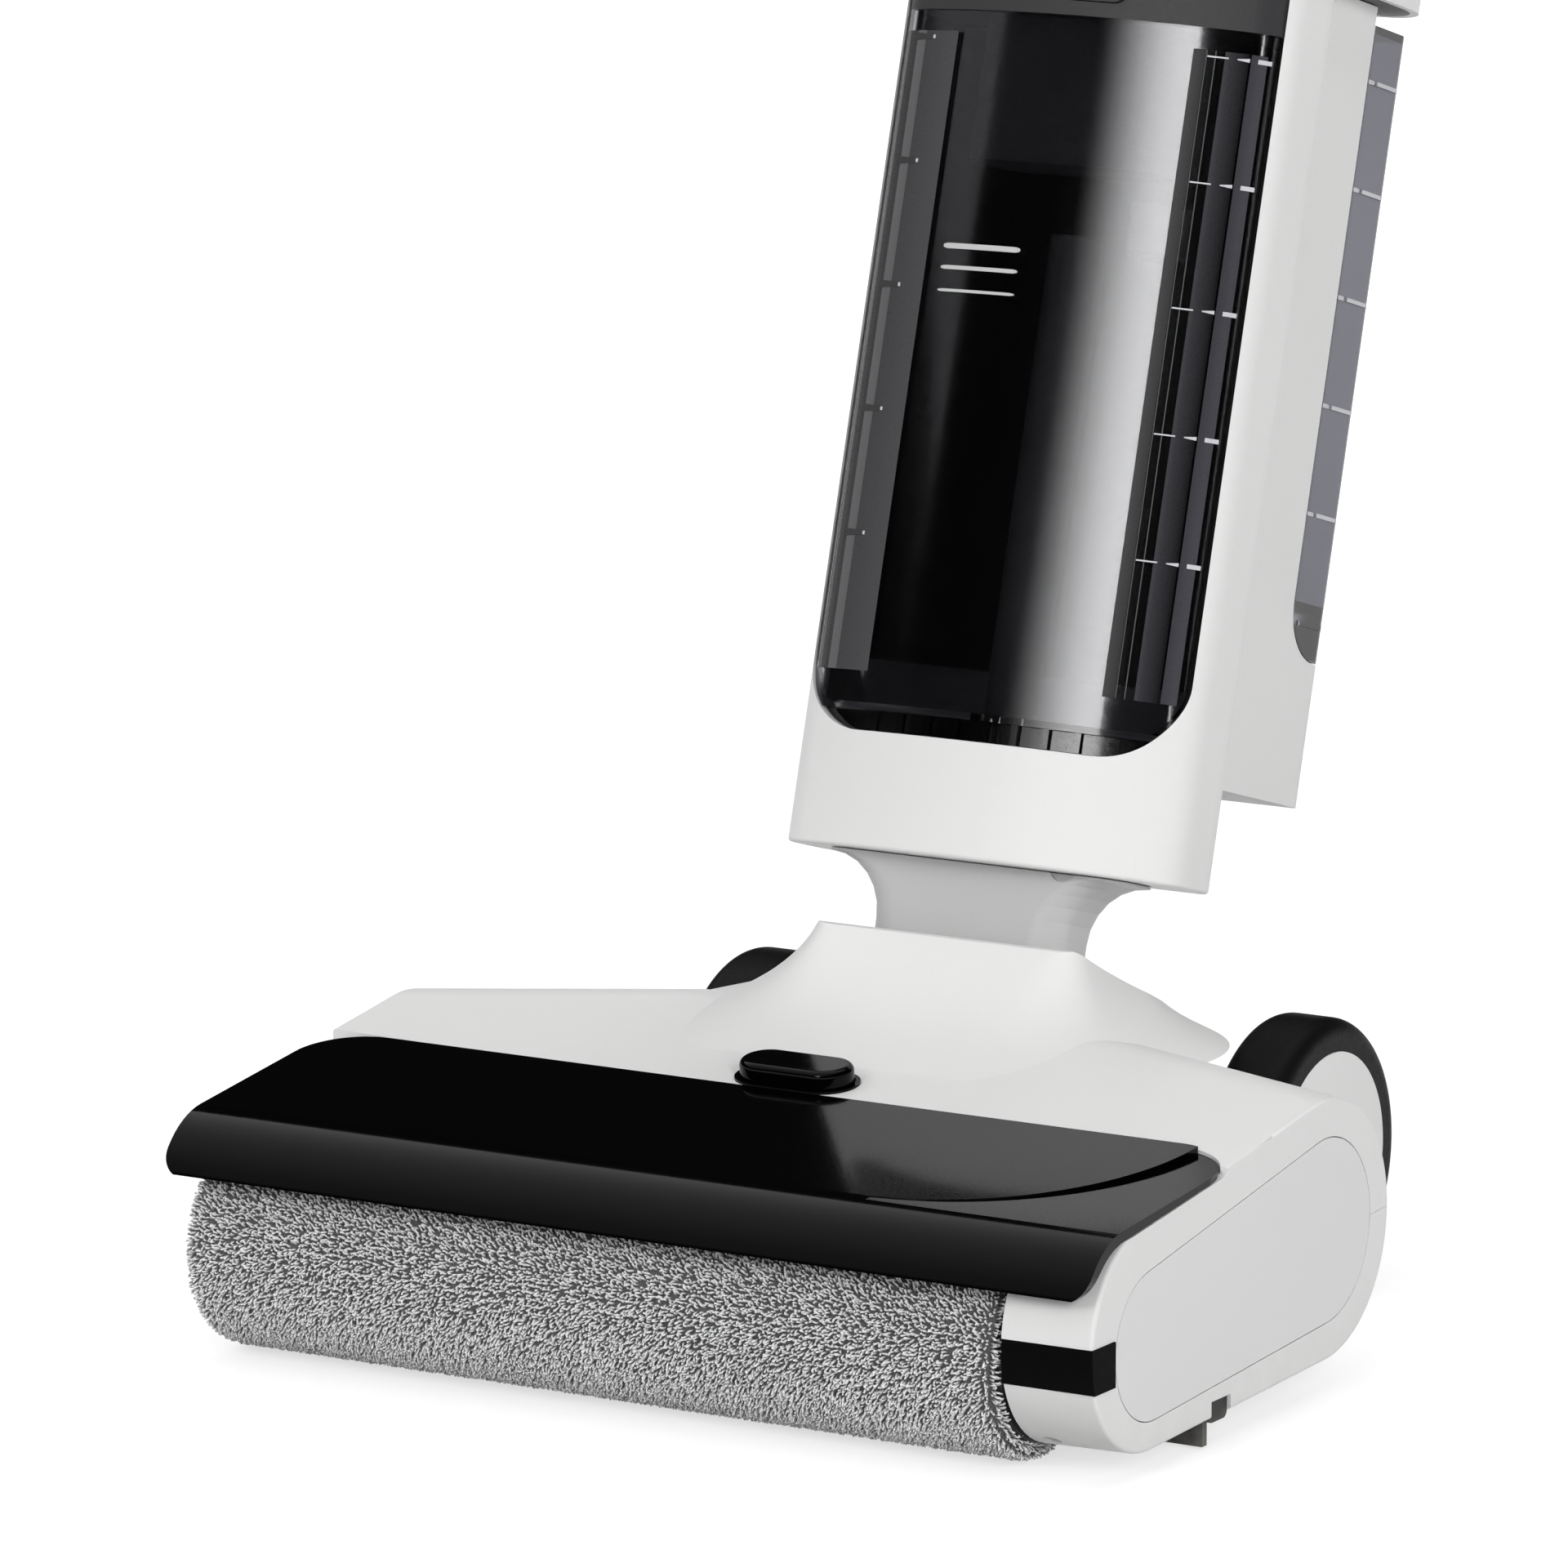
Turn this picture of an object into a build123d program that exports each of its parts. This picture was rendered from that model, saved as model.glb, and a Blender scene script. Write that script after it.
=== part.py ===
from build123d import *
import os
from math import asin, atan2, cos, degrees, hypot, radians, sin, sqrt, tan

# Upright wet and dry floor scrubber. Millimetres, Z up, X to the machine's right seen from the front.
# The head is drawn from the roller axis: y runs to the rear from it and z runs up from the floor.
# The upright is drawn from the recline pivot: y runs to its back and z runs along its own axis.

# Clearances
RUN = 0.3
SEAT = 0.1
SHAFT_FIT = 0.05

# Floor head, seen from the side as the hull of a nose circle and a tail circle
HEAD_HALF = 140.0
NOSE_Y = 2.5
NOSE_Z = 36.0
NOSE_R = 31.6
TAIL_Z = 46.0
TAIL_R = 35.0
TAIL_MID_Y = 118.0
TAIL_LEFT_Y = 86.0
WING_HALF = 67.0
END_NOSE_R = 30.0
END_TAIL_Y = 96.5
END_TAIL_Z = 44.0
END_WIDTH = 26.0
END_WALL = 3.5
EDGE_ROUND = 1.0
PANEL_NOSE = (4.5, 33.5, 20.0)
PANEL_TAIL = (96.5, 44.0, 25.0)
SEAM_FRONT_Z = 32.6
SEAM_SLOPE = 0.0714
DIMPLE_INSET = 19.6
DIMPLE_R = 2.6
DIMPLE_DEPTH = 1.2
DIMPLE_ANGLE = 60.0

# Roller and its chamber
ROLLER_R = 30.0
PILE = 5.5
CORE_WALL = 3.0
IDLE_GAP = 0.7
DRIVE_GAP = 2.0
PILE_ROUND = 8.0
CHAMBER_GAP = 4.0
IDLE_PIN_R = 5.0
IDLE_PIN_LENGTH = 14.0
ARM_THICK = 3.8
ARM_NOSE_R = 13.0
ARM_REACH = 46.0
DOG_R = 9.0
DOG_LENGTH = 8.0
END_PLUG = 10.0

# Belt drive inside the right end housing
MOTOR_Y = 92.0
MOTOR_Z = 44.0
MOTOR_R = 17.0
MOTOR_LENGTH = 65.0
MOTOR_SHAFT_R = 2.5
ROLLER_SHAFT_R = 7.0
ROLLER_PULLEY_R = 16.0
MOTOR_PULLEY_R = 8.0
BELT_WIDTH = 7.0
BELT_THICK = 1.8
FLANGE = 2.5
FLANGE_THICK = 1.0

# Roller cover
COVER_INSET = 0.2
COVER_REAR = 52.0
COVER_THICK = 3.0
COVER_TILT = 7.0
COVER_CREASE_Y = -11.4
COVER_CREASE_Z = 66.5
COVER_NOSE_R = 24.0
COVER_LIP_Z = 51.5
COVER_REAR_ROUND = 18.0
COVER_LIP_ROUND = 7.0
COVER_LIP_RUN = 0.7
SCOOP_TILT = 5.5
SCOOP_DROP = 0.2
SCOOP_START = 74.0
SCOOP_BEND = (38.0, 13.4)
SCOOP_END = 13.0

# Cover release button
BUTTON_Y = 62.5
BUTTON_LENGTH = 33.0
BUTTON_WIDTH = 15.0
BUTTON_RISE = 5.5
BUTTON_SKIRT = 5.0
BUTTON_ROOM = 9.0
BEZEL_WALL = 1.2
BEZEL_RISE = 0.6
BEZEL_SINK = 1.5
SPRING_THICK = 0.5

# Floor contact and wet pieces of the head
BUMPER_LOW = 26.7
BUMPER_HIGH = 38.6
BUMPER_THICK = 2.0
BUMPER_PROUD = 0.4
SQUEEGEE_Y = 31.0
SQUEEGEE_THICK = 2.5
SQUEEGEE_FOOT = 0.6
SQUEEGEE_TOP = 12.0
SKID_Y = 35.5
SKID_LENGTH = 10.0
SKID_WIDTH = 8.0
SKID_TOP = 11.5
SKID_FOOT = 5.5
SCRAPER_ANGLE = 38.0
SCRAPER_HEIGHT = 4.0
SPRAY_R = 3.5
SPRAY_Z = 61.0
SPRAY_INSET = 9.0
DUCT_MOUTH = (80.0, 12.0)
DUCT_MOUTH_Z = 26.0
DUCT_WALL = 2.0
DUCT_END_R = 9.0
DUCT_END_DROP = (5.0, 6.0)

# Wheels
WHEEL_Y = 187.6
WHEEL_R = 38.8
TYRE_WIDTH = 20.5
WHEEL_OUTER_X = 93.2
TYRE_ROUND = 5.0
HUB_R = 30.0
HUB_PROUD = 2.0
AXLE_R = 4.0
WELL_GAP = 2.0
BEAM_R = 17.0
BEAM_GAP = 0.8

# Dome that carries the neck: level, half width, front and corner radius of each section
DOME_LEVELS = (
    (74.0, 81.0, 66.0, 40.0),
    (80.0, 60.5, 94.0, 30.0),
    (86.0, 50.5, 114.0, 22.0),
    (92.0, 44.8, 127.0, 14.0),
    (99.5, 41.0, 138.2, 6.0),
)
DOME_REAR = 182.0
COLLAR_LIP = 2.2
COLLAR_FALL = ((10.0, 9.0), (20.0, -4.0))

# Neck
RECLINE = 16.0
PIVOT_Y = 155.0
PIVOT_Z = 74.0
NECK_HALF = 30.0
NECK_FRONT = 14.0
NECK_REAR = 10.0
NECK_FLARE_R = 17.0
NECK_TOP = 41.2
NECK_BRIM = 0.6
NECK_EDGE = 9.0
FLARE_TURNS = (0.0, 15.0, 30.0, 45.0, 60.0, 75.0, 90.0)
NOTCH_X = 28.8
NOTCH_R = 4.3
NOTCH_RISE = 2.1
NOTCH_DEPTH = 1.2
NECK_PIN_R = 5.0
NECK_PIN_INNER = 13.0
EAR_REACH = 11.0
STEM_R = 9.5
STEM_BORE_R = 7.5
STEM_LENGTH = 10.0
MAX_RECLINE = 66.0

# Upright body
BODY_HALF = 61.0
BODY_FRONT = -26.0
BODY_BACK = 19.0
BOW_R = 150.0
BODY_CORNER = 14.0
BACK_CORNER = 12.0
SKIRT_BOTTOM = 41.5
SKIRT_TAPER = 3.7
SKIRT_TAPER_RISE = 16.0
SKIRT_EDGE = 1.0
TANK_SEAT = 73.2
BAY_TOP = 291.0
COLUMN_WALL = 2.2
BAY_CORNER = 22.0
BACK_PLATE = 3.5
LINER = 1.5
BLOCK_HALF = 52.0
BLOCK_REAR = 73.5
BLOCK_BOTTOM = 70.8
BLOCK_WALL = 2.2
BLOCK_CORNER = 4.0

# Tanks
TANK_GAP = 0.5
TANK_INSET = 1.0
TANK_WALL = 2.0
TANK_RIB_START = 92.6
TANK_RIB_STEP = 34.3
TANK_RIB = 0.8
TANK_RIB_PROUD = 1.2
TANK_RIB_INSET = 15.3
TANK_FOOT_HEIGHT = 5.5
TANK_FOOT_INSET = 3.0
FOOT_RIB_STEP = 9.0
FOOT_RIB = 2.0
LID_HEIGHT = 17.5
LID_GAP = 1.5
LATCH_WIDTH = 34.0
LATCH_HEIGHT = 9.0
LATCH_DEPTH = 7.0
LATCH_TRAVEL = 4.0
STANDPIPE_R = 7.5
STANDPIPE_WALL = 1.6
STANDPIPE_DROP = 58.0
FILTER_WIDTH = 64.0
FILTER_DEPTH = 24.0
FILTER_Y = -5.0
FILTER_HEIGHT = 40.0
FLOAT_X = 26.0
FLOAT_R = 8.0
FLOAT_HEIGHT = 13.0
FLOAT_TRAVEL = 8.0
ROD_R = 2.0
CLEAN_FRONT = 52.6
CLEAN_BOTTOM = 110.5
CLEAN_ROUND = 16.0
CLEAN_RIB_START = 10.0
CLEAN_RIB_STEP = 30.0
CLEAN_RIB = 1.2
CLEAN_RIB_PROUD = 0.5
CAP_R = 6.0
CAP_HEIGHT = 5.0

# Power pieces inside the upright
BATTERY = (90.0, 26.0, 75.0)
BOARD = (76.0, 1.6, 88.0)
PUMP_R = 12.0
PUMP_LENGTH = 42.0
PUMP_X = 24.0

# Upper housing, fan and display
HOUSING_RISE = 54.0
HOUSING_TAPER = 80.0
HOUSING_WALL = 2.5
HOUSING_CORNER = 18.0
HOUSING_NECK = (56.0, 52.0, 20.0)
SOCKET_DEPTH = 22.0
FLOOR_PLATE = 3.0
FAN_Y = 23.0
FAN_R = 31.0
FAN_HEIGHT = 12.0
FAN_BLADES = 9
BLADE_THICK = 2.0
BLADE_TURN = 35.0
SHROUD_WALL = 2.5
INLET_R = 12.0
FAN_MOTOR_R = 24.0
FAN_MOTOR_HEIGHT = 38.0
FAN_SHAFT_R = 3.0
DISPLAY_R = 24.0
DISPLAY_RISE = 31.0
DISPLAY_THICK = 1.6

# Handle
HANDLE_Y = 24.0
TUBE_R = 14.0
TUBE_WALL = 1.6
TUBE_END = 838.0
GRIP_START = 815.0
GRIP_COLLAR_TOP = 838.0
GRIP_WAIST_R = 16.5
GRIP_R = 18.5
GRIP_END = 985.0
GRIP_FLAT = 14.5
KEY_R = 6.5
KEY_DEPTH = 5.0
KEY_RISE = 1.5
POWER_Z = 950.0
MODE_Z = 928.0
CLEAN_KEY_R = 7.0

# Small fixings
SCREW_R = 3.0
SCREW_LENGTH = 5.0
SCREW_INSET = 30.0
SCREW_HALF = 40.0
CONTACT_R = 4.0
CONTACT_X = 14.0
CONTACT_DEPTH = 3.0

# Placing: the origin lies on the floor under the middle of the whole machine
LEAN = radians(RECLINE)
COVER_LEAN = radians(COVER_TILT)
COVER_NOSE_Y = COVER_CREASE_Y + COVER_NOSE_R * sin(COVER_LEAN)
COVER_NOSE_Z = COVER_CREASE_Z - COVER_NOSE_R * cos(COVER_LEAN)
FRONT_Y = COVER_NOSE_Y - sqrt(COVER_NOSE_R**2 - (COVER_LIP_Z - COVER_NOSE_Z) ** 2)
REAR_Y = PIVOT_Y + HANDLE_Y * cos(LEAN) + GRIP_END * sin(LEAN) + GRIP_R
ROLLER_Y = -(FRONT_Y + REAR_Y) / 2
ROLLER_Z = ROLLER_R

NOSE = (NOSE_Y, NOSE_Z, NOSE_R)
TAIL_MID = (TAIL_MID_Y, TAIL_Z, TAIL_R)
TAIL_LEFT = (TAIL_LEFT_Y, END_TAIL_Z, TAIL_R)
END_NOSE = (NOSE_Y, NOSE_Z, END_NOSE_R)
END_TAIL = (END_TAIL_Y, END_TAIL_Z, TAIL_R)
END_INNER_X = HEAD_HALF - END_WIDTH
ROLLER_LEFT = -HEAD_HALF + ARM_THICK + IDLE_GAP
ROLLER_RIGHT = END_INNER_X - DRIVE_GAP
COVER_RIGHT = HEAD_HALF - COVER_INSET
SPRAY_HALF = END_INNER_X - SPRAY_INSET
SCREW_LEFT = -HEAD_HALF + SCREW_INSET
SCREW_SPOTS = (
    (SCREW_LEFT, 55.0),
    (SCREW_LEFT, 95.0),
    (-SCREW_HALF, 60.0),
    (-SCREW_HALF, 110.0),
    (SCREW_HALF, 60.0),
    (SCREW_HALF, 110.0),
)
TANK_TOP = BAY_TOP - LID_HEIGHT - LID_GAP
STANDPIPE_TOP = TANK_TOP - STANDPIPE_DROP
CLEAN_TOP = BAY_TOP - CAP_HEIGHT
HOUSING_SHOULDER = BAY_TOP + HOUSING_RISE
HOUSING_TOP = HOUSING_SHOULDER + HOUSING_TAPER
DISPLAY_Z = BAY_TOP + DISPLAY_RISE
CHAMBER_R = ROLLER_R + CHAMBER_GAP
CORE_R = ROLLER_R - PILE
WHEEL_INNER_X = WHEEL_OUTER_X - TYRE_WIDTH
BEAM_HALF = WHEEL_INNER_X - BEAM_GAP
NECK_SLOT_HALF = NECK_HALF + RUN
EAR_OUTER = NECK_SLOT_HALF + EAR_REACH
COLLAR_TOP = DOME_LEVELS[-1][0]
BUMPER_REAR = PANEL_NOSE[0] - PANEL_NOSE[2] - RUN
COLLAR_FRONT = DOME_LEVELS[-1][2]
HIGH = 160.0


def side_plane(x):
    """Side view of the head at x: local x runs to the rear from the roller axis, local y runs up."""
    return Plane(origin=(x, ROLLER_Y, 0), x_dir=(0, 1, 0), z_dir=(1, 0, 0))


def head_level(z):
    """Level plane of the head: local x to the right, local y to the rear from the roller axis."""
    return Plane(origin=(0, ROLLER_Y, z), x_dir=(1, 0, 0), z_dir=(0, 0, 1))


def head_front(y):
    """Front view of the head at y behind the roller axis: local x to the right, local y up."""
    return Plane(origin=(0, ROLLER_Y + y, 0), x_dir=(1, 0, 0), z_dir=(0, -1, 0))


def body_point(x, y, z):
    """Point of the upright, given across, to the back and along its axis from the pivot."""
    return (x, ROLLER_Y + PIVOT_Y + y * cos(LEAN) + z * sin(LEAN), PIVOT_Z - y * sin(LEAN) + z * cos(LEAN))


def body_level(z, x=0.0, y=0.0):
    """Plane square to the upright's axis at z, with its local origin at x and y."""
    return Plane(origin=body_point(x, y, z), x_dir=(1, 0, 0), z_dir=(0, sin(LEAN), cos(LEAN)))


def body_front(y):
    """Front view of the upright at y: local x across, local y along the axis, facing the front."""
    return Plane(origin=body_point(0, y, 0), x_dir=(1, 0, 0), z_dir=(0, -cos(LEAN), sin(LEAN)))


def body_side(x):
    """Side view of the upright at x: local x to its back, local y along its axis."""
    return Plane(origin=body_point(x, 0, 0), x_dir=(0, cos(LEAN), -sin(LEAN)), z_dir=(1, 0, 0))


def two_circles(first, second, grow=0.0):
    """Adds the hull of two circles, each given as y, z and radius, to the open sketch."""
    with Locations((first[0], first[1])):
        Circle(first[2] + grow)
    with Locations((second[0], second[1])):
        Circle(second[2] + grow)
    make_hull()


os.makedirs("parts", exist_ok=True)


def finish(piece, name):
    """Names a finished piece and writes it."""
    piece.part.label = name
    export_step(piece.part, f"parts/{name}.step")


# Top of the mid section: the tangent line over the nose and tail circles
CENTRE_TILT = atan2(TAIL_Z - NOSE_Z, TAIL_MID_Y - NOSE_Y)
TOP_LEAN = CENTRE_TILT + asin((TAIL_R - NOSE_R) / hypot(TAIL_MID_Y - NOSE_Y, TAIL_Z - NOSE_Z))
TOP_START_Y = NOSE_Y - NOSE_R * sin(TOP_LEAN)
TOP_START_Z = NOSE_Z + NOSE_R * cos(TOP_LEAN)
BUTTON_Z = TOP_START_Z + (BUTTON_Y - TOP_START_Y) * sin(TOP_LEAN) / cos(TOP_LEAN)
BUTTON_NORMAL = (0, -sin(TOP_LEAN), cos(TOP_LEAN))


def button_level(rise):
    """Plane over the release button, square to its travel, at a rise above the head's top."""
    foot = (0, ROLLER_Y + BUTTON_Y - rise * sin(TOP_LEAN), BUTTON_Z + rise * cos(TOP_LEAN))
    return Plane(origin=foot, x_dir=(1, 0, 0), z_dir=BUTTON_NORMAL)


# Roller cover: a bent gloss panel with a round front, scooped out towards its right end
COVER_END_Z = COVER_CREASE_Z + (COVER_REAR - COVER_CREASE_Y) * sin(COVER_LEAN) / cos(COVER_LEAN)
COVER_UNDER_Z = COVER_END_Z - COVER_THICK / cos(COVER_LEAN)
COVER_INNER_R = COVER_NOSE_R - COVER_THICK
COVER_START = 90.0 + COVER_TILT
LIP_DROP = COVER_LIP_Z - COVER_NOSE_Z
COVER_SWEEP = 180.0 - degrees(asin(LIP_DROP / COVER_NOSE_R)) - COVER_START
INNER_SWEEP = 180.0 - degrees(asin(LIP_DROP / COVER_INNER_R)) - COVER_START
COVER_SPAN = HEAD_HALF + COVER_RIGHT
COVER_MID = (COVER_RIGHT - HEAD_HALF) / 2
COVER_DEPTH = COVER_REAR - FRONT_Y
COVER_CENTRE_Y = (COVER_REAR + FRONT_Y) / 2

with BuildPart() as cover_scoop:
    with BuildSketch(head_level(0)):
        with BuildLine():
            scoop_bend = (COVER_RIGHT - SCOOP_BEND[0], COVER_CREASE_Y + SCOOP_BEND[1])
            scoop_edge = ThreePointArc(
                (COVER_RIGHT - SCOOP_START, COVER_CREASE_Y),
                scoop_bend,
                (COVER_RIGHT - SCOOP_END, COVER_REAR),
            )
            Polyline(
                scoop_edge @ 1,
                (COVER_RIGHT - SCOOP_END, HIGH),
                (HEAD_HALF, HIGH),
                (HEAD_HALF, FRONT_Y),
                (COVER_RIGHT - SCOOP_START, FRONT_Y),
                scoop_edge @ 0,
            )
        make_face()
    extrude(amount=HIGH)
    with BuildSketch(side_plane(-HEAD_HALF)):
        scoop_z = COVER_CREASE_Z - SCOOP_DROP
        scoop_low = scoop_z - (HIGH + COVER_CREASE_Y) * tan(radians(SCOOP_TILT))
        scoop_high = scoop_z + (HIGH - COVER_CREASE_Y) * tan(radians(SCOOP_TILT))
        Polygon((-HIGH, scoop_low), (HIGH, scoop_high), (HIGH, HIGH), (-HIGH, HIGH), align=None)
    extrude(amount=2 * HEAD_HALF, mode=Mode.INTERSECT)

with BuildPart() as roller_cover:
    with BuildSketch(side_plane(-HEAD_HALF)):
        with BuildLine():
            nose_centre = (COVER_NOSE_Y, COVER_NOSE_Z)
            outer_nose = CenterArc(nose_centre, COVER_NOSE_R, COVER_START, COVER_SWEEP)
            inner_nose = CenterArc(nose_centre, COVER_INNER_R, COVER_START, INNER_SWEEP)
            Line(outer_nose @ 1, inner_nose @ 1)
            top = Line(outer_nose @ 0, (COVER_REAR, COVER_END_Z))
            bottom = Line(inner_nose @ 0, (COVER_REAR, COVER_UNDER_Z))
            Line(top @ 1, bottom @ 1)
        make_face()
    extrude(amount=COVER_SPAN)
    with BuildSketch(head_level(0)):
        with Locations((COVER_MID, COVER_CENTRE_Y)):
            outline = Rectangle(COVER_SPAN, COVER_DEPTH)
        fillet(outline.vertices().group_by(Axis.Y)[-1], COVER_REAR_ROUND)
    extrude(amount=HIGH, mode=Mode.INTERSECT)
    with BuildSketch(head_front(COVER_REAR)):
        with Locations((COVER_MID, COVER_LIP_Z - COVER_LIP_RUN)):
            front_view = Rectangle(COVER_SPAN, HIGH, align=(Align.CENTER, Align.MIN))
        fillet(front_view.vertices().group_by(Axis.Y)[0], COVER_LIP_ROUND)
    extrude(amount=HIGH, mode=Mode.INTERSECT)
    add(cover_scoop.part, mode=Mode.SUBTRACT)
finish(roller_cover, "roller_cover")

# Room for the cover in the head: its plan with a running gap, above its underside and open at both ends
with BuildPart() as cover_room:
    with BuildSketch(side_plane(-HEAD_HALF - EDGE_ROUND)):
        under_rear = COVER_UNDER_Z - RUN
        under_front = under_rear - (COVER_REAR + HIGH) * sin(COVER_LEAN) / cos(COVER_LEAN)
        room_rear = COVER_REAR + RUN
        Polygon((room_rear, under_rear), (room_rear, HIGH), (-HIGH, HIGH), (-HIGH, under_front), align=None)
    extrude(amount=2 * (HEAD_HALF + EDGE_ROUND))
    with BuildSketch(head_level(0)) as room_plan:
        with Locations((COVER_MID, COVER_REAR + RUN - HIGH / 2)):
            room_outline = Rectangle(COVER_SPAN + 2 * RUN, HIGH)
        right_rear = room_outline.vertices().group_by(Axis.Y)[-1].sort_by(Axis.X)[-1]
        fillet(right_rear, COVER_REAR_ROUND)
        with Locations((-HEAD_HALF, COVER_REAR + RUN - HIGH / 2)):
            Rectangle(2 * COVER_REAR_ROUND, HIGH, align=(Align.CENTER, Align.CENTER))
        with Locations((HEAD_HALF, COVER_REAR - COVER_REAR_ROUND / 2)):
            Rectangle(2 * COVER_REAR_ROUND, HIGH, align=(Align.CENTER, Align.MAX))
    extrude(amount=HIGH, mode=Mode.INTERSECT)

# Head form: swept wings, a flat middle, the dome, the wheel beam and all rooms for what it holds
NECK_ROOM_R = NECK_FRONT + RUN
NECK_SLOT_FRONT = PIVOT_Y - NECK_FRONT - 2 * RUN
BEAM_TOP = WHEEL_R + BEAM_R
DUCT_END_Y = PIVOT_Y - NECK_ROOM_R - DUCT_END_DROP[0]
DUCT_END_Z = PIVOT_Z - NECK_ROOM_R - DUCT_END_DROP[1]
DUCT_TILT = (0, 0.6, 0.8)


def duct_planes():
    """Planes of the duct's mouth behind the roller and of its end under the neck."""
    mouth = Plane(origin=(0, ROLLER_Y + CHAMBER_R, DUCT_MOUTH_Z), x_dir=(1, 0, 0), z_dir=(0, 1, 0))
    end = Plane(origin=(0, ROLLER_Y + DUCT_END_Y, DUCT_END_Z), x_dir=(1, 0, 0), z_dir=DUCT_TILT)
    return mouth, end


with BuildPart() as duct_room:
    mouth_plane, end_plane = duct_planes()
    with BuildSketch(mouth_plane):
        RectangleRounded(DUCT_MOUTH[0] + 2 * SEAT, DUCT_MOUTH[1] + 2 * SEAT, DUCT_MOUTH[1] / 3)
    with BuildSketch(end_plane):
        RectangleRounded(2 * DUCT_END_R + 2 * SEAT, 2 * DUCT_END_R + 2 * SEAT, DUCT_END_R / 2)
    loft()

with BuildPart() as head_form:
    with BuildSketch(side_plane(-HEAD_HALF)):
        two_circles(NOSE, TAIL_LEFT)
    with BuildSketch(side_plane(-WING_HALF)):
        two_circles(NOSE, TAIL_MID)
    loft(ruled=True)
    with BuildSketch(side_plane(WING_HALF)):
        two_circles(NOSE, TAIL_MID)
    with BuildSketch(side_plane(HEAD_HALF)):
        two_circles(END_NOSE, END_TAIL)
    loft(ruled=True)
    fillet(head_form.faces().sort_by(Axis.X)[-1].edges(), EDGE_ROUND)
    fillet(head_form.faces().sort_by(Axis.X)[0].edges(), EDGE_ROUND)
    with BuildSketch(side_plane(-WING_HALF)):
        two_circles(NOSE, TAIL_MID)
    extrude(amount=2 * WING_HALF)
    with BuildSketch(side_plane(-BEAM_HALF)):
        two_circles((WHEEL_Y, WHEEL_R, BEAM_R), (TAIL_MID_Y, WHEEL_R, BEAM_R))
    extrude(amount=2 * BEAM_HALF)
    for level, half, front, corner in DOME_LEVELS:
        with BuildSketch(head_level(level)):
            with Locations((0, (front + DOME_REAR) / 2)):
                RectangleRounded(2 * half, DOME_REAR - front, corner)
    loft()
    # Rear of the collar falls away so that the upright can lie back
    with BuildSketch(side_plane(-HEAD_HALF)):
        fall_top = (COLLAR_FRONT + COLLAR_LIP, COLLAR_TOP)
        fall = [(PIVOT_Y + back, PIVOT_Z + up) for back, up in COLLAR_FALL]
        fall_foot = (WHEEL_Y, BEAM_TOP)
        fall_end = WHEEL_Y + HIGH
        fall_rest = ((fall_end, BEAM_TOP), (fall_end, HIGH), (fall_top[0], HIGH))
        Polygon(fall_top, *fall, fall_foot, *fall_rest, align=None)
    extrude(amount=2 * HEAD_HALF, mode=Mode.SUBTRACT)
    # Slot and saddle for the neck barrel
    with BuildSketch(side_plane(-NECK_SLOT_HALF)):
        with Locations((PIVOT_Y, PIVOT_Z)):
            Circle(NECK_ROOM_R)
        slot_rear = PIVOT_Y + NECK_ROOM_R * cos(radians(MAX_RECLINE))
        slot_low = PIVOT_Z - NECK_ROOM_R * sin(radians(MAX_RECLINE))
        Polygon(
            (NECK_SLOT_FRONT, PIVOT_Z),
            (NECK_SLOT_FRONT, HIGH),
            (WHEEL_Y + HIGH, HIGH),
            (WHEEL_Y + HIGH, slot_low),
            (slot_rear, slot_low),
            align=None,
        )
    extrude(amount=2 * NECK_SLOT_HALF, mode=Mode.SUBTRACT)
    # Roller chamber, open at the top and front
    with BuildSketch(side_plane(-HEAD_HALF - EDGE_ROUND)):
        with Locations((0, ROLLER_Z)):
            Circle(CHAMBER_R)
        with Locations((0, -HIGH / 4)):
            Rectangle(HIGH, 2 * HIGH, align=(Align.MAX, Align.MIN))
        with Locations((CHAMBER_R, ROLLER_Z)):
            Rectangle(HIGH, HIGH, align=(Align.MAX, Align.MIN))
    extrude(amount=HEAD_HALF + EDGE_ROUND + END_INNER_X, mode=Mode.SUBTRACT)
    add(cover_room.part, mode=Mode.SUBTRACT)
    # Belt room and the opening for its side panel
    with BuildSketch(side_plane(END_INNER_X + END_WALL)):
        two_circles(END_NOSE, END_TAIL, -END_WALL)
    extrude(amount=HEAD_HALF - END_INNER_X - 2 * END_WALL, mode=Mode.SUBTRACT)
    with BuildSketch(side_plane(HEAD_HALF - END_WALL)):
        two_circles(PANEL_NOSE, PANEL_TAIL)
    extrude(amount=2 * END_WALL, mode=Mode.SUBTRACT)
    # Bores through the belt room's inner wall, and the motor room behind it
    with BuildSketch(side_plane(END_INNER_X - EDGE_ROUND)):
        with Locations((0, ROLLER_Z)):
            Circle(ROLLER_SHAFT_R + SHAFT_FIT)
        with Locations((MOTOR_Y, MOTOR_Z)):
            Circle(MOTOR_SHAFT_R + SHAFT_FIT)
    extrude(amount=END_WALL + 2 * EDGE_ROUND, mode=Mode.SUBTRACT)
    with BuildSketch(side_plane(END_INNER_X - MOTOR_LENGTH - SEAT)):
        with Locations((MOTOR_Y, MOTOR_Z)):
            Circle(MOTOR_R + SEAT)
    extrude(amount=MOTOR_LENGTH + SEAT, mode=Mode.SUBTRACT)
    # Recess for the arm that carries the roller's idle end
    with BuildSketch(side_plane(-HEAD_HALF - EDGE_ROUND)):
        two_circles((0, ROLLER_Z, ARM_NOSE_R), (ARM_REACH, ROLLER_Z, ARM_NOSE_R), SEAT)
    extrude(amount=ARM_THICK + EDGE_ROUND + SEAT, mode=Mode.SUBTRACT)
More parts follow.
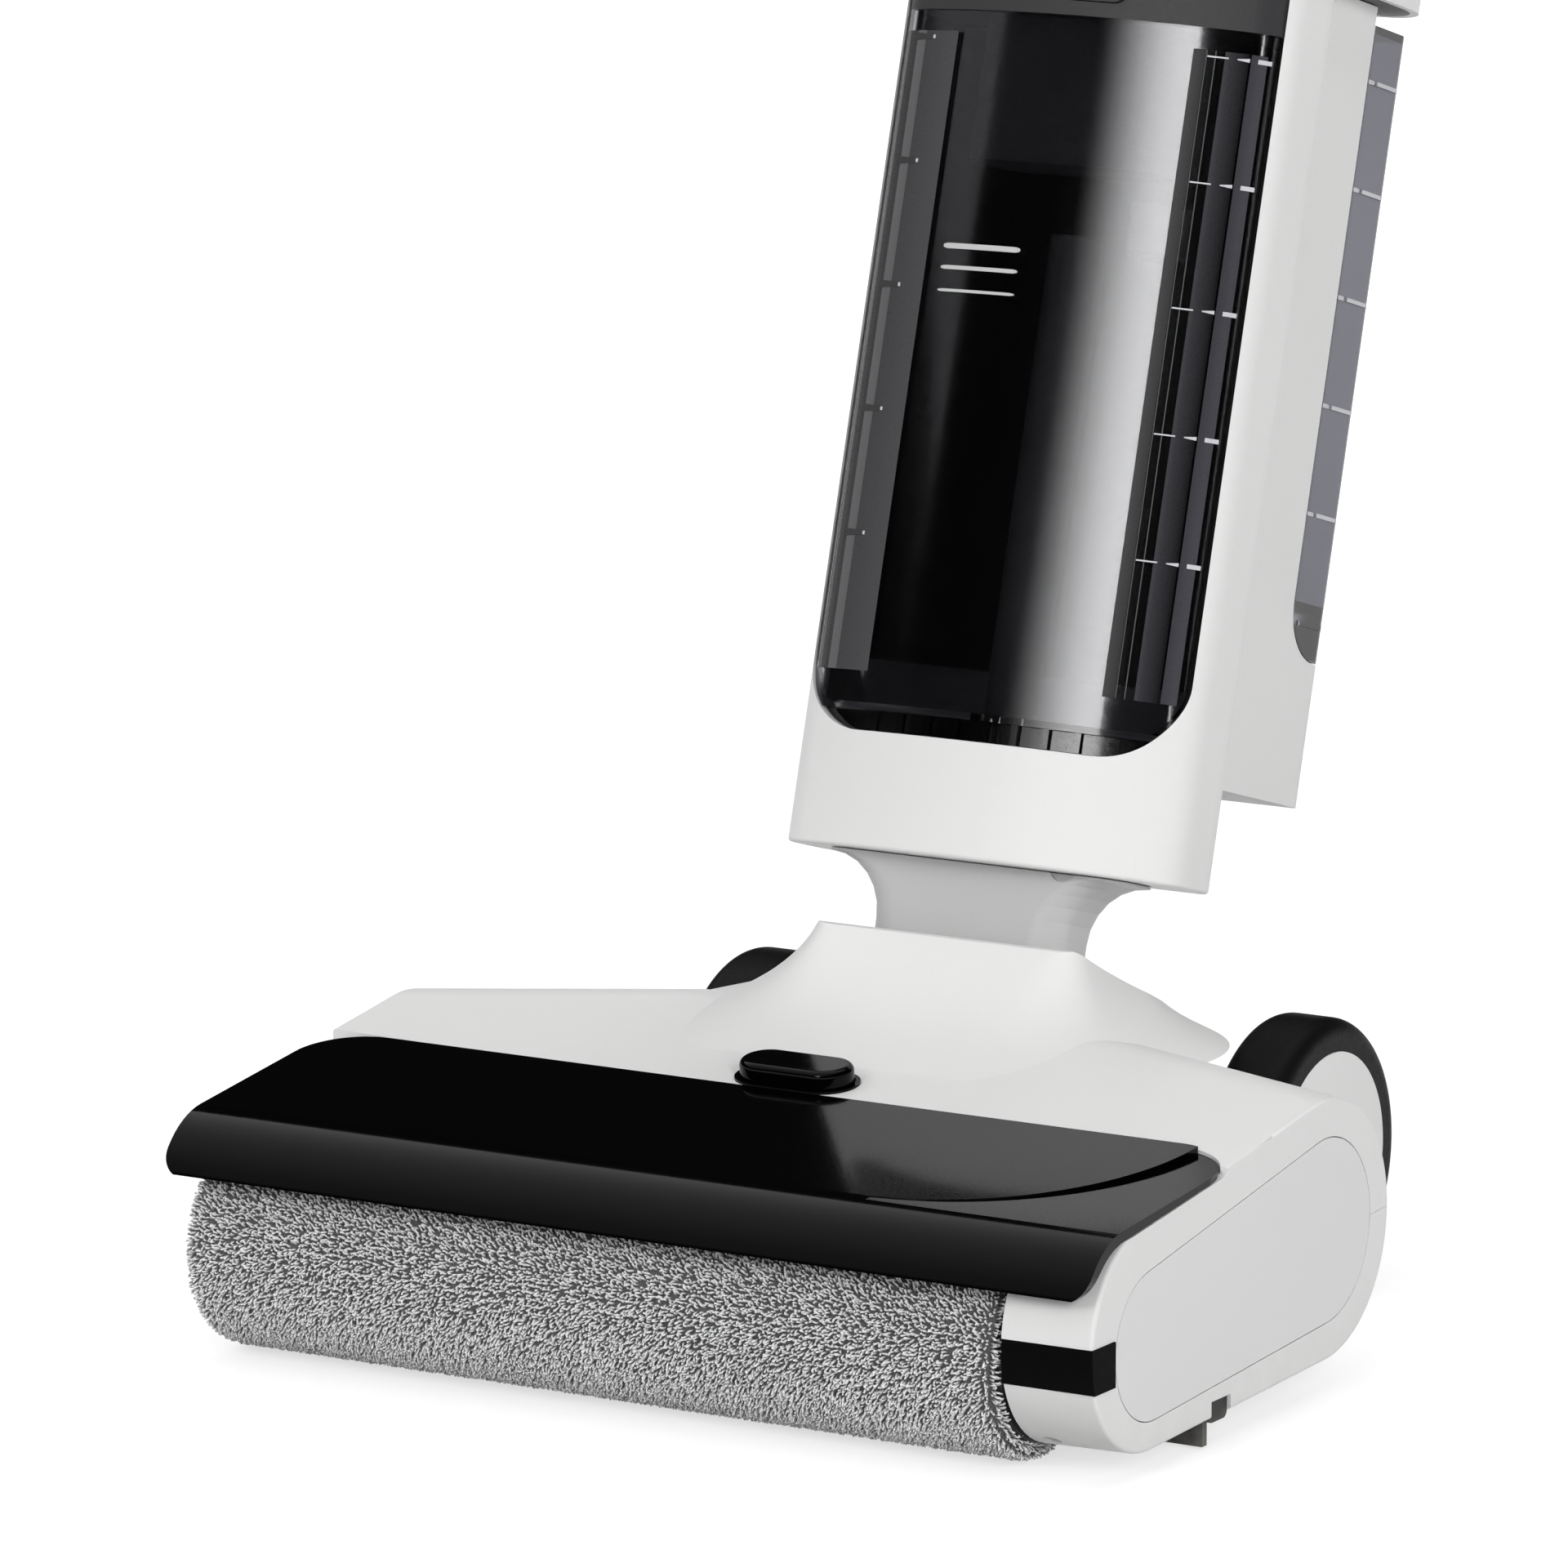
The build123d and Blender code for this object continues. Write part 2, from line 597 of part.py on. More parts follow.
    # Wheel wells, axle bore and bores for the neck pins
    for side in (-1, 1):
        with BuildSketch(side_plane(side * (BEAM_HALF))):
            with Locations((WHEEL_Y, WHEEL_R)):
                Circle(WHEEL_R + WELL_GAP)
        extrude(amount=side * HIGH, mode=Mode.SUBTRACT)
    with BuildSketch(side_plane(-HEAD_HALF)):
        with Locations((WHEEL_Y, WHEEL_R)):
            Circle(AXLE_R + SHAFT_FIT)
    extrude(amount=2 * HEAD_HALF, mode=Mode.SUBTRACT)
    with BuildSketch(side_plane(-EAR_OUTER)):
        with Locations((PIVOT_Y, PIVOT_Z)):
            Circle(NECK_PIN_R + SHAFT_FIT)
    extrude(amount=2 * EAR_OUTER, mode=Mode.SUBTRACT)
    # Release button room, squeegee groove, skid notch and bumper groove
    with BuildSketch(button_level(-BUTTON_ROOM)):
        SlotOverall(BUTTON_LENGTH + 2 * RUN, BUTTON_WIDTH + 2 * RUN)
    extrude(amount=BUTTON_ROOM + BUTTON_RISE, mode=Mode.SUBTRACT)
    with BuildSketch(button_level(-BEZEL_SINK)):
        seat_wall = BEZEL_WALL + RUN + SEAT
        SlotOverall(BUTTON_LENGTH + 2 * seat_wall, BUTTON_WIDTH + 2 * seat_wall)
    extrude(amount=BEZEL_SINK + BUTTON_RISE, mode=Mode.SUBTRACT)
    with BuildSketch(side_plane(-HEAD_HALF - EDGE_ROUND)):
        with Locations((SQUEEGEE_Y - SEAT, -HIGH)):
            Rectangle(SQUEEGEE_THICK + 2 * SEAT, HIGH + SQUEEGEE_TOP + SEAT, align=(Align.MIN, Align.MIN))
    extrude(amount=HEAD_HALF + COVER_RIGHT + EDGE_ROUND, mode=Mode.SUBTRACT)
    with BuildSketch(side_plane(HEAD_HALF - SKID_WIDTH - SEAT)):
        with Locations((SKID_Y - SEAT, -HIGH)):
            Rectangle(SKID_LENGTH + 2 * SEAT, HIGH + SKID_TOP + SEAT, align=(Align.MIN, Align.MIN))
    extrude(amount=HIGH, mode=Mode.SUBTRACT)
    with BuildSketch(side_plane(END_INNER_X - EDGE_ROUND)):
        with Locations((BUMPER_REAR + SEAT, BUMPER_LOW - SEAT)):
            Rectangle(HIGH, BUMPER_HIGH - BUMPER_LOW + 2 * SEAT, align=(Align.MAX, Align.MIN))
        with Locations((NOSE_Y, NOSE_Z)):
            Circle(END_NOSE_R - BUMPER_THICK, mode=Mode.SUBTRACT)
    extrude(amount=HIGH, mode=Mode.SUBTRACT)
    with BuildSketch(side_plane(HEAD_HALF - BUMPER_THICK)):
        with Locations((BUMPER_REAR + SEAT, BUMPER_LOW - SEAT)):
            Rectangle(HIGH, BUMPER_HIGH - BUMPER_LOW + 2 * SEAT, align=(Align.MAX, Align.MIN))
    extrude(amount=HIGH, mode=Mode.SUBTRACT)
    add(duct_room.part, mode=Mode.SUBTRACT)
    # Finger dimple low on the right end's front
    dimple_turn = radians(DIMPLE_ANGLE)
    dimple_normal = (0, -cos(dimple_turn), -sin(dimple_turn))
    dimple_r = END_NOSE_R - DIMPLE_DEPTH
    dimple_y = ROLLER_Y + NOSE_Y - dimple_r * cos(dimple_turn)
    dimple_foot = (HEAD_HALF - DIMPLE_INSET, dimple_y, NOSE_Z - dimple_r * sin(dimple_turn))
    with BuildSketch(Plane(origin=dimple_foot, x_dir=(1, 0, 0), z_dir=dimple_normal)):
        Circle(DIMPLE_R)
    extrude(amount=4 * DIMPLE_DEPTH, mode=Mode.SUBTRACT)

# The two mouldings meet on a seam that rises gently to the rear
SEAM_NORMAL = (0, -SEAM_SLOPE, 1)


def seam_plane(rise):
    """Parting plane of the head's two mouldings, moved up by rise."""
    return Plane(origin=(0, ROLLER_Y + NOSE_Y - END_NOSE_R, SEAM_FRONT_Z + rise), z_dir=SEAM_NORMAL)


with BuildPart() as head_upper_shell:
    add(head_form.part)
    split(bisect_by=seam_plane(SEAT), keep=Keep.TOP)
finish(head_upper_shell, "head_upper_shell")

with BuildPart() as head_lower_shell:
    add(head_form.part)
    split(bisect_by=seam_plane(0), keep=Keep.BOTTOM)
    for spot_x, spot_y in SCREW_SPOTS:
        with BuildSketch(head_level(-HIGH)):
            with Locations((spot_x, spot_y)):
                Circle(SCREW_R + SEAT)
        extrude(amount=HIGH + NOSE_Z - END_NOSE_R + 2 * SCREW_LENGTH, mode=Mode.SUBTRACT)
finish(head_lower_shell, "head_lower_shell")

# Screws up into the base, seated at the bottom of their counterbores
with BuildPart() as base_screws:
    for spot_x, spot_y in SCREW_SPOTS:
        with BuildSketch(head_level(NOSE_Z - END_NOSE_R + SCREW_LENGTH)):
            with Locations((spot_x, spot_y)):
                Circle(SCREW_R)
                RegularPolygon(SCREW_R / 2, 6, mode=Mode.SUBTRACT)
        extrude(amount=SCREW_LENGTH / 2)
        with BuildSketch(head_level(NOSE_Z - END_NOSE_R + 1.5 * SCREW_LENGTH)):
            with Locations((spot_x, spot_y)):
                Circle(SCREW_R)
        extrude(amount=SCREW_LENGTH / 2)
finish(base_screws, "base_screws")

# Side panel over the belt drive, flush with the end housing
with BuildPart() as end_panel:
    with BuildSketch(side_plane(HEAD_HALF - END_WALL)):
        two_circles(PANEL_NOSE, PANEL_TAIL, -RUN)
    extrude(amount=END_WALL)
finish(end_panel, "end_panel")

# Soft bumper strip round the right front corner
with BuildPart() as bumper_strip:
    with BuildSketch(side_plane(END_INNER_X)):
        with Locations((NOSE_Y, NOSE_Z)):
            Circle(END_NOSE_R + BUMPER_PROUD)
        with Locations((BUMPER_REAR, BUMPER_LOW)):
            Rectangle(HIGH, BUMPER_HIGH - BUMPER_LOW, align=(Align.MAX, Align.MIN), mode=Mode.INTERSECT)
    extrude(amount=HEAD_HALF - END_INNER_X + BUMPER_PROUD)
    with BuildSketch(side_plane(END_INNER_X)):
        with Locations((NOSE_Y, NOSE_Z)):
            Circle(END_NOSE_R - BUMPER_THICK + SEAT)
    extrude(amount=HEAD_HALF - END_INNER_X - BUMPER_THICK + SEAT, mode=Mode.SUBTRACT)
finish(bumper_strip, "bumper_strip")

# Arm on the left end with the stub that the roller's idle end turns on
with BuildPart() as left_end_arm:
    with BuildSketch(side_plane(-HEAD_HALF)):
        two_circles((0, ROLLER_Z, ARM_NOSE_R), (ARM_REACH, ROLLER_Z, ARM_NOSE_R))
    extrude(amount=ARM_THICK)
    with BuildSketch(side_plane(-HEAD_HALF + ARM_THICK)):
        with Locations((0, ROLLER_Z)):
            Circle(IDLE_PIN_R)
    extrude(amount=IDLE_PIN_LENGTH)
finish(left_end_arm, "left_end_arm")

# Drive motor, a steel can with a hole for its shaft
with BuildPart() as drive_motor:
    with BuildSketch(side_plane(END_INNER_X - MOTOR_LENGTH)):
        with Locations((MOTOR_Y, MOTOR_Z)):
            Circle(MOTOR_R)
    extrude(amount=MOTOR_LENGTH)
    with BuildSketch(side_plane(END_INNER_X - END_PLUG)):
        with Locations((MOTOR_Y, MOTOR_Z)):
            Circle(MOTOR_SHAFT_R + SHAFT_FIT)
    extrude(amount=END_PLUG, mode=Mode.SUBTRACT)
finish(drive_motor, "drive_motor")

# Flat belt round the two pulleys
BELT_X = END_INNER_X + END_WALL + FLANGE_THICK + 3 * RUN
with BuildPart() as drive_belt:
    with BuildSketch(side_plane(BELT_X)):
        roller_run = (0, ROLLER_Z, ROLLER_PULLEY_R + SHAFT_FIT)
        motor_run = (MOTOR_Y, MOTOR_Z, MOTOR_PULLEY_R + SHAFT_FIT)
        two_circles(roller_run, motor_run, BELT_THICK)
    extrude(amount=BELT_WIDTH)
    with BuildSketch(side_plane(BELT_X)):
        two_circles(roller_run, motor_run)
    extrude(amount=BELT_WIDTH, mode=Mode.SUBTRACT)
finish(drive_belt, "drive_belt")


def pulley(pitch_r):
    """Steps of a flanged pulley from its inner flange to its outer one: start, length and radius."""
    start = BELT_X - RUN - FLANGE_THICK
    return (
        (start, FLANGE_THICK, pitch_r + FLANGE),
        (start + FLANGE_THICK, BELT_WIDTH + 2 * RUN, pitch_r),
        (start + FLANGE_THICK + BELT_WIDTH + 2 * RUN, FLANGE_THICK, pitch_r + FLANGE),
    )


# Small pulley with the motor shaft
with BuildPart() as motor_pulley:
    for x, length, radius in pulley(MOTOR_PULLEY_R):
        with BuildSketch(side_plane(x)):
            with Locations((MOTOR_Y, MOTOR_Z)):
                Circle(radius)
        extrude(amount=length)
    with BuildSketch(side_plane(END_INNER_X - END_PLUG + RUN)):
        with Locations((MOTOR_Y, MOTOR_Z)):
            Circle(MOTOR_SHAFT_R)
    extrude(amount=END_PLUG + END_WALL + BELT_WIDTH)
finish(motor_pulley, "motor_pulley")

# Large pulley with its shaft and the six-sided dog that drives the roller
with BuildPart() as roller_pulley:
    for x, length, radius in pulley(ROLLER_PULLEY_R):
        with BuildSketch(side_plane(x)):
            with Locations((0, ROLLER_Z)):
                Circle(radius)
        extrude(amount=length)
    with BuildSketch(side_plane(ROLLER_RIGHT)):
        with Locations((0, ROLLER_Z)):
            Circle(ROLLER_SHAFT_R)
    extrude(amount=BELT_X - ROLLER_RIGHT)
    with BuildSketch(side_plane(ROLLER_RIGHT - DOG_LENGTH)):
        with Locations((0, ROLLER_Z)):
            RegularPolygon(DOG_R, 6)
    extrude(amount=DOG_LENGTH + RUN)
finish(roller_pulley, "roller_pulley")

# Roller core tube, closed at the driven end round the dog
CORE_LEFT = ROLLER_LEFT + PILE + 1.0
with BuildPart() as roller_core:
    with BuildSketch(side_plane(CORE_LEFT)):
        with Locations((0, ROLLER_Z)):
            Circle(CORE_R - SEAT)
            Circle(CORE_R - CORE_WALL, mode=Mode.SUBTRACT)
    extrude(amount=ROLLER_RIGHT - CORE_LEFT)
    with BuildSketch(side_plane(ROLLER_RIGHT - END_PLUG)):
        with Locations((0, ROLLER_Z)):
            Circle(CORE_R - CORE_WALL)
            RegularPolygon(DOG_R + SEAT, 6, mode=Mode.SUBTRACT)
    extrude(amount=END_PLUG)
finish(roller_core, "roller_core")

# Idle end plug with its running bore
with BuildPart() as roller_idle_plug:
    with BuildSketch(side_plane(CORE_LEFT)):
        with Locations((0, ROLLER_Z)):
            Circle(CORE_R - CORE_WALL - SEAT)
            Circle(IDLE_PIN_R + SHAFT_FIT, mode=Mode.SUBTRACT)
    extrude(amount=END_PLUG)
finish(roller_idle_plug, "roller_idle_plug")

# Pile sleeve over the core, rounded over the open end
SLEEVE_HOLE_R = CORE_R - CORE_WALL - PILE
ROLLER_AXIS = Axis((0, ROLLER_Y, ROLLER_Z), (1, 0, 0))
with BuildPart() as roller_sleeve:
    sleeve_plane = Plane(origin=(0, ROLLER_Y, ROLLER_Z), x_dir=(1, 0, 0), z_dir=(0, -1, 0))
    with BuildSketch(sleeve_plane):
        with BuildLine():
            Polyline(
                (ROLLER_LEFT + PILE_ROUND, ROLLER_R),
                (ROLLER_RIGHT, ROLLER_R),
                (ROLLER_RIGHT, CORE_R),
                (CORE_LEFT - SEAT, CORE_R),
                (CORE_LEFT - SEAT, SLEEVE_HOLE_R),
                (ROLLER_LEFT, SLEEVE_HOLE_R),
                (ROLLER_LEFT, ROLLER_R - PILE_ROUND),
            )
            CenterArc((ROLLER_LEFT + PILE_ROUND, ROLLER_R - PILE_ROUND), PILE_ROUND, 90, 90)
        make_face()
    revolve(axis=ROLLER_AXIS)
finish(roller_sleeve, "roller_sleeve")

# Scraper bar on the chamber wall, its edge just clear of the pile
SCRAPER_LEFT = -HEAD_HALF + ARM_THICK + PILE
SCRAPER_SPAN = END_INNER_X - SCRAPER_LEFT
SCRAPER_LEAN = radians(SCRAPER_ANGLE)
TIP_Y = (ROLLER_R + RUN) * cos(SCRAPER_LEAN)
TIP_Z = ROLLER_Z + (ROLLER_R + RUN) * sin(SCRAPER_LEAN)
with BuildPart() as scraper_bar:
    with BuildSketch(side_plane(SCRAPER_LEFT)):
        Polygon(
            (TIP_Y, TIP_Z),
            (CHAMBER_R, TIP_Z),
            (CHAMBER_R, TIP_Z + 2 * SCRAPER_HEIGHT),
            (TIP_Y + SCRAPER_HEIGHT, TIP_Z + SCRAPER_HEIGHT),
            align=None,
        )
    extrude(amount=SCRAPER_SPAN)
finish(scraper_bar, "scraper_bar")

# Spray bar, a water tube with outlets towards the roller
with BuildPart() as spray_bar:
    with BuildSketch(side_plane(-SPRAY_HALF)):
        with Locations((CHAMBER_R - SPRAY_R, SPRAY_Z)):
            Circle(SPRAY_R)
    extrude(amount=2 * SPRAY_HALF)
    for outlet in range(-2, 3):
        with BuildSketch(side_plane(outlet * SPRAY_HALF / 3 - SPRAY_R / 2)):
            with Locations((CHAMBER_R - 2 * SPRAY_R, SPRAY_Z - SPRAY_R)):
                Circle(SPRAY_R / 2)
        extrude(amount=SPRAY_R)
finish(spray_bar, "spray_bar")

# Rubber squeegee under the base, behind the roller
with BuildPart() as squeegee:
    with BuildSketch(side_plane(-HEAD_HALF + 2 * EDGE_ROUND)):
        with Locations((SQUEEGEE_Y, SQUEEGEE_FOOT)):
            Rectangle(SQUEEGEE_THICK, SQUEEGEE_TOP - SQUEEGEE_FOOT, align=(Align.MIN, Align.MIN))
    extrude(amount=HEAD_HALF + COVER_RIGHT - 2 * EDGE_ROUND - SEAT)
finish(squeegee, "squeegee")

# Small skid in the notch under the right end housing
with BuildPart() as floor_skid:
    with BuildSketch(side_plane(HEAD_HALF - SKID_WIDTH)):
        with Locations((SKID_Y, SKID_FOOT)):
            skid = Rectangle(SKID_LENGTH, SKID_TOP - SKID_FOOT, align=(Align.MIN, Align.MIN))
        fillet(skid.vertices().group_by(Axis.Y)[0], (SKID_TOP - SKID_FOOT) / 3)
    extrude(amount=SKID_WIDTH - EDGE_ROUND)
finish(floor_skid, "floor_skid")

# Suction duct from the chamber to the neck saddle
with BuildPart() as suction_duct:
    with BuildSketch(mouth_plane):
        RectangleRounded(DUCT_MOUTH[0], DUCT_MOUTH[1], DUCT_MOUTH[1] / 3)
    with BuildSketch(end_plane):
        RectangleRounded(2 * DUCT_END_R, 2 * DUCT_END_R, DUCT_END_R / 2)
    loft()
    with BuildSketch(mouth_plane):
        RectangleRounded(DUCT_MOUTH[0] - 2 * DUCT_WALL, DUCT_MOUTH[1] - 2 * DUCT_WALL, DUCT_MOUTH[1] / 4)
    with BuildSketch(end_plane):
        RectangleRounded(2 * (DUCT_END_R - DUCT_WALL), 2 * (DUCT_END_R - DUCT_WALL), DUCT_END_R / 3)
    loft(mode=Mode.SUBTRACT)
finish(suction_duct, "suction_duct")

# Bezel, button and return spring of the cover release
with BuildPart() as button_bezel:
    with BuildSketch(button_level(-BEZEL_SINK)):
        SlotOverall(BUTTON_LENGTH + 2 * (BEZEL_WALL + RUN), BUTTON_WIDTH + 2 * (BEZEL_WALL + RUN))
        SlotOverall(BUTTON_LENGTH + 2 * RUN, BUTTON_WIDTH + 2 * RUN, mode=Mode.SUBTRACT)
    extrude(amount=BEZEL_SINK + BEZEL_RISE)
finish(button_bezel, "button_bezel")

with BuildPart() as release_button:
    with BuildSketch(button_level(-BUTTON_SKIRT)):
        SlotOverall(BUTTON_LENGTH, BUTTON_WIDTH)
    extrude(amount=BUTTON_SKIRT + BUTTON_RISE)
    fillet(release_button.faces().sort_by(Axis.Z)[-1].edges(), BUTTON_RISE / 3)
finish(release_button, "release_button")

with BuildPart() as release_spring:
    spring_half = BUTTON_LENGTH / 3
    spring_drop = BUTTON_ROOM - BUTTON_SKIRT - SPRING_THICK - RUN
    spring_foot = button_level(-BUTTON_SKIRT - RUN).origin
    spring_depth = (0, -cos(TOP_LEAN), -sin(TOP_LEAN))
    with BuildSketch(Plane(origin=spring_foot, x_dir=(1, 0, 0), z_dir=spring_depth)):
        with BuildLine():
            crown = ThreePointArc((-spring_half, -spring_drop), (0, 0), (spring_half, -spring_drop))
            offset(crown, amount=SPRING_THICK, side=Side.RIGHT)
        make_face()
    extrude(amount=BUTTON_WIDTH / 5, both=True)
finish(release_spring, "release_spring")

# Wheel axle and the two wheels
with BuildPart() as wheel_axle:
    with BuildSketch(side_plane(-WHEEL_OUTER_X)):
        with Locations((WHEEL_Y, WHEEL_R)):
            Circle(AXLE_R)
    extrude(amount=2 * WHEEL_OUTER_X)
finish(wheel_axle, "wheel_axle")

WHEEL_AXIS = Axis((0, ROLLER_Y + WHEEL_Y, WHEEL_R), (1, 0, 0))
HUB_FACE = WHEEL_OUTER_X + HUB_PROUD
HUB_CROWN_R = ((HUB_R - SEAT) ** 2 + HUB_PROUD**2) / (2 * HUB_PROUD)


def wheel_plane(side):
    """Half section of a wheel: local x runs out from the machine's middle, local y along the radius."""
    return Plane(origin=(0, ROLLER_Y + WHEEL_Y, WHEEL_R), x_dir=(side, 0, 0), z_dir=(0, -side, 0))


for side, side_name in ((-1, "left"), (1, "right")):
    with BuildPart() as tyre:
        with BuildSketch(wheel_plane(side)) as tyre_section:
            with Locations((WHEEL_INNER_X, HUB_R)):
                tread = Rectangle(TYRE_WIDTH, WHEEL_R - HUB_R, align=(Align.MIN, Align.MIN))
            fillet(tread.vertices().group_by(Axis.Y)[-1], TYRE_ROUND)
        revolve(axis=WHEEL_AXIS)
    finish(tyre, f"tyre_{side_name}")
    with BuildPart() as hub:
        with BuildSketch(wheel_plane(side)):
            with BuildLine():
                rim = Polyline(
                    (HUB_FACE, 0),
                    (WHEEL_OUTER_X + SEAT, 0),
                    (WHEEL_OUTER_X + SEAT, AXLE_R + SHAFT_FIT),
                    (WHEEL_INNER_X, AXLE_R + SHAFT_FIT),
                    (WHEEL_INNER_X, HUB_R - SEAT),
                    (WHEEL_OUTER_X, HUB_R - SEAT),
                )
                RadiusArc(rim @ 1, rim @ 0, HUB_CROWN_R)
            make_face()
        revolve(axis=WHEEL_AXIS)
    finish(hub, f"hub_{side_name}")

# Charging contacts on the back of the wheel beam
with BuildPart() as charge_contacts:
    for side in (-1, 1):
        rear_face = Plane(
            origin=(side * CONTACT_X, ROLLER_Y + WHEEL_Y + BEAM_R, WHEEL_R), x_dir=(1, 0, 0), z_dir=(0, 1, 0)
        )
        with BuildSketch(rear_face):
            Circle(CONTACT_R)
        extrude(amount=CONTACT_DEPTH / 3)
finish(charge_contacts, "charge_contacts")

# Neck pins, fixed in the collar's ears
with BuildPart() as neck_pins:
    for side in (-1, 1):
        with BuildSketch(side_plane(side * NECK_PIN_INNER)):
            with Locations((PIVOT_Y, PIVOT_Z)):
                Circle(NECK_PIN_R)
        extrude(amount=side * (EAR_OUTER - NECK_PIN_INNER - RUN))
finish(neck_pins, "neck_pins")

# Neck: a barrel on the pins, a waist that flares to a brim, and a hollow way for the dirty water
NECK_DEPTH = NECK_FRONT + NECK_REAR
SWIVEL_Y = (NECK_REAR - NECK_FRONT) / 2
NECK_BEND = NECK_TOP - NECK_BRIM - NECK_FLARE_R
FLARE_X = NECK_HALF + NECK_FLARE_R
with BuildPart() as neck:
    with BuildSketch(body_level(0, y=SWIVEL_Y)):
        RectangleRounded(2 * NECK_HALF, NECK_DEPTH, NECK_EDGE)
    extrude(amount=NECK_BEND)
    for turn in FLARE_TURNS:
        flare_half = FLARE_X - NECK_FLARE_R * cos(radians(turn))
        with BuildSketch(body_level(NECK_BEND + NECK_FLARE_R * sin(radians(turn)), y=SWIVEL_Y)):
            RectangleRounded(2 * flare_half, NECK_DEPTH, NECK_EDGE)
    loft(ruled=True)
    with BuildSketch(body_level(NECK_TOP - NECK_BRIM, y=SWIVEL_Y)):
        RectangleRounded(2 * FLARE_X, NECK_DEPTH, NECK_EDGE)
    extrude(amount=NECK_BRIM)
    with BuildSketch(side_plane(-NECK_HALF)):
        with Locations((PIVOT_Y, PIVOT_Z)):
            Circle(NECK_FRONT)
    extrude(amount=2 * NECK_HALF)
    with BuildSketch(side_plane(-NECK_HALF)):
        with Locations((PIVOT_Y, PIVOT_Z)):
            Circle(NECK_PIN_R + SHAFT_FIT)
    extrude(amount=2 * NECK_HALF, mode=Mode.SUBTRACT)
    with BuildSketch(body_level(-NECK_DEPTH, y=SWIVEL_Y)):
        Circle(STEM_BORE_R)
    extrude(amount=NECK_TOP + NECK_DEPTH, mode=Mode.SUBTRACT)
    with BuildSketch(body_level(NECK_TOP - STEM_LENGTH - RUN, y=SWIVEL_Y)):
        Circle(STEM_R + SHAFT_FIT)
    extrude(amount=STEM_LENGTH + 2 * RUN, mode=Mode.SUBTRACT)
    with BuildSketch(body_front(NOTCH_DEPTH - NECK_FRONT)):
        with Locations((NOTCH_X, NECK_TOP + NOTCH_RISE)):
            Circle(NOTCH_R)
    extrude(amount=2 * NOTCH_DEPTH, mode=Mode.SUBTRACT)
finish(neck, "neck")

# Swivel stem under the body, turning in the neck
with BuildPart() as swivel_stem:
    with BuildSketch(body_level(NECK_TOP - STEM_LENGTH, y=SWIVEL_Y)):
        Circle(STEM_R)
        Circle(STEM_BORE_R, mode=Mode.SUBTRACT)
    extrude(amount=STEM_LENGTH + SKIRT_BOTTOM - NECK_TOP)
finish(swivel_stem, "swivel_stem")

# Front section of the upright, bowed at the front
SHOULDER = BODY_FRONT + BOW_R - sqrt(BOW_R**2 - BODY_HALF**2)
with BuildSketch() as front_section:
    with BuildLine():
        ThreePointArc((-BODY_HALF, SHOULDER), (0, BODY_FRONT), (BODY_HALF, SHOULDER))
        Polyline(
            (BODY_HALF, SHOULDER),
            (BODY_HALF, BODY_BACK),
            (-BODY_HALF, BODY_BACK),
            (-BODY_HALF, SHOULDER),
        )
    make_face()
    fillet(front_section.vertices().group_by(Axis.Y)[0], BODY_CORNER)
    fillet(front_section.vertices().group_by(Axis.Y)[-1], BACK_CORNER)

BODY_AXIS = Axis(body_point(0, 0, 0), (0, sin(LEAN), cos(LEAN)))
BAY_HALF = BODY_HALF - COLUMN_WALL
CORNER_X = BODY_HALF - BODY_CORNER
CORNER_Y = BODY_FRONT + BOW_R - sqrt((BOW_R - BODY_CORNER) ** 2 - CORNER_X**2)
COLUMN_EDGE_Y = CORNER_Y - sqrt(BODY_CORNER**2 - (BAY_HALF - CORNER_X) ** 2)
BAY_BACK = BODY_BACK - BACK_PLATE


def bay_front(half, corner, bottom, top):
    """Adds the front view of the bay or of what fills it, round at the lower corners, to the open sketch."""
    with Locations((0, bottom)):
        view = Rectangle(2 * half, top - bottom, align=(Align.CENTER, Align.MIN))
    fillet(view.vertices().group_by(Axis.Y)[0], corner)


# Body frame: the skirt, two thin columns and the back plate, with a water way through the skirt
with BuildPart() as body_frame:
    with BuildSketch(body_level(SKIRT_BOTTOM)):
        add(front_section.sketch)
    extrude(amount=BAY_TOP - SKIRT_BOTTOM)
    fillet(body_frame.faces().sort_by(BODY_AXIS)[0].edges(), SKIRT_EDGE)
    with BuildSketch(body_front(BAY_BACK)):
        bay_front(BAY_HALF, BAY_CORNER, TANK_SEAT, BAY_TOP + HIGH)
    extrude(amount=HIGH, mode=Mode.SUBTRACT)
    with BuildSketch(body_side(-BODY_HALF)):
        taper_top = SKIRT_BOTTOM + SKIRT_TAPER_RISE
        Polygon(
            (BODY_BACK, taper_top),
            (BODY_BACK - SKIRT_TAPER, SKIRT_BOTTOM),
            (BODY_BACK - SKIRT_TAPER, 0),
            (2 * BODY_BACK, 0),
            (2 * BODY_BACK, taper_top),
            align=None,
        )
    extrude(amount=2 * BODY_HALF, mode=Mode.SUBTRACT)
    with BuildSketch(body_level(SKIRT_BOTTOM, y=SWIVEL_Y)):
        Circle(STEM_BORE_R)
    extrude(amount=HIGH, mode=Mode.SUBTRACT)
finish(body_frame, "body_frame")

# Dark liner plate on the back of the tank bay
LINER_HALF = BAY_HALF - LINER
with BuildPart() as bay_liner:
    with BuildSketch(body_level(TANK_SEAT + BAY_CORNER, y=BAY_BACK)):
        Rectangle(2 * LINER_HALF, LINER, align=(Align.CENTER, Align.MAX))
    extrude(amount=BAY_TOP - TANK_SEAT - BAY_CORNER)
finish(bay_liner, "bay_liner")

# Rear housing: a box behind the frame, stepped at the back for the clean tank
BLOCK_DEPTH = BLOCK_REAR - BODY_BACK
BLOCK_MID = (BLOCK_REAR + BODY_BACK) / 2


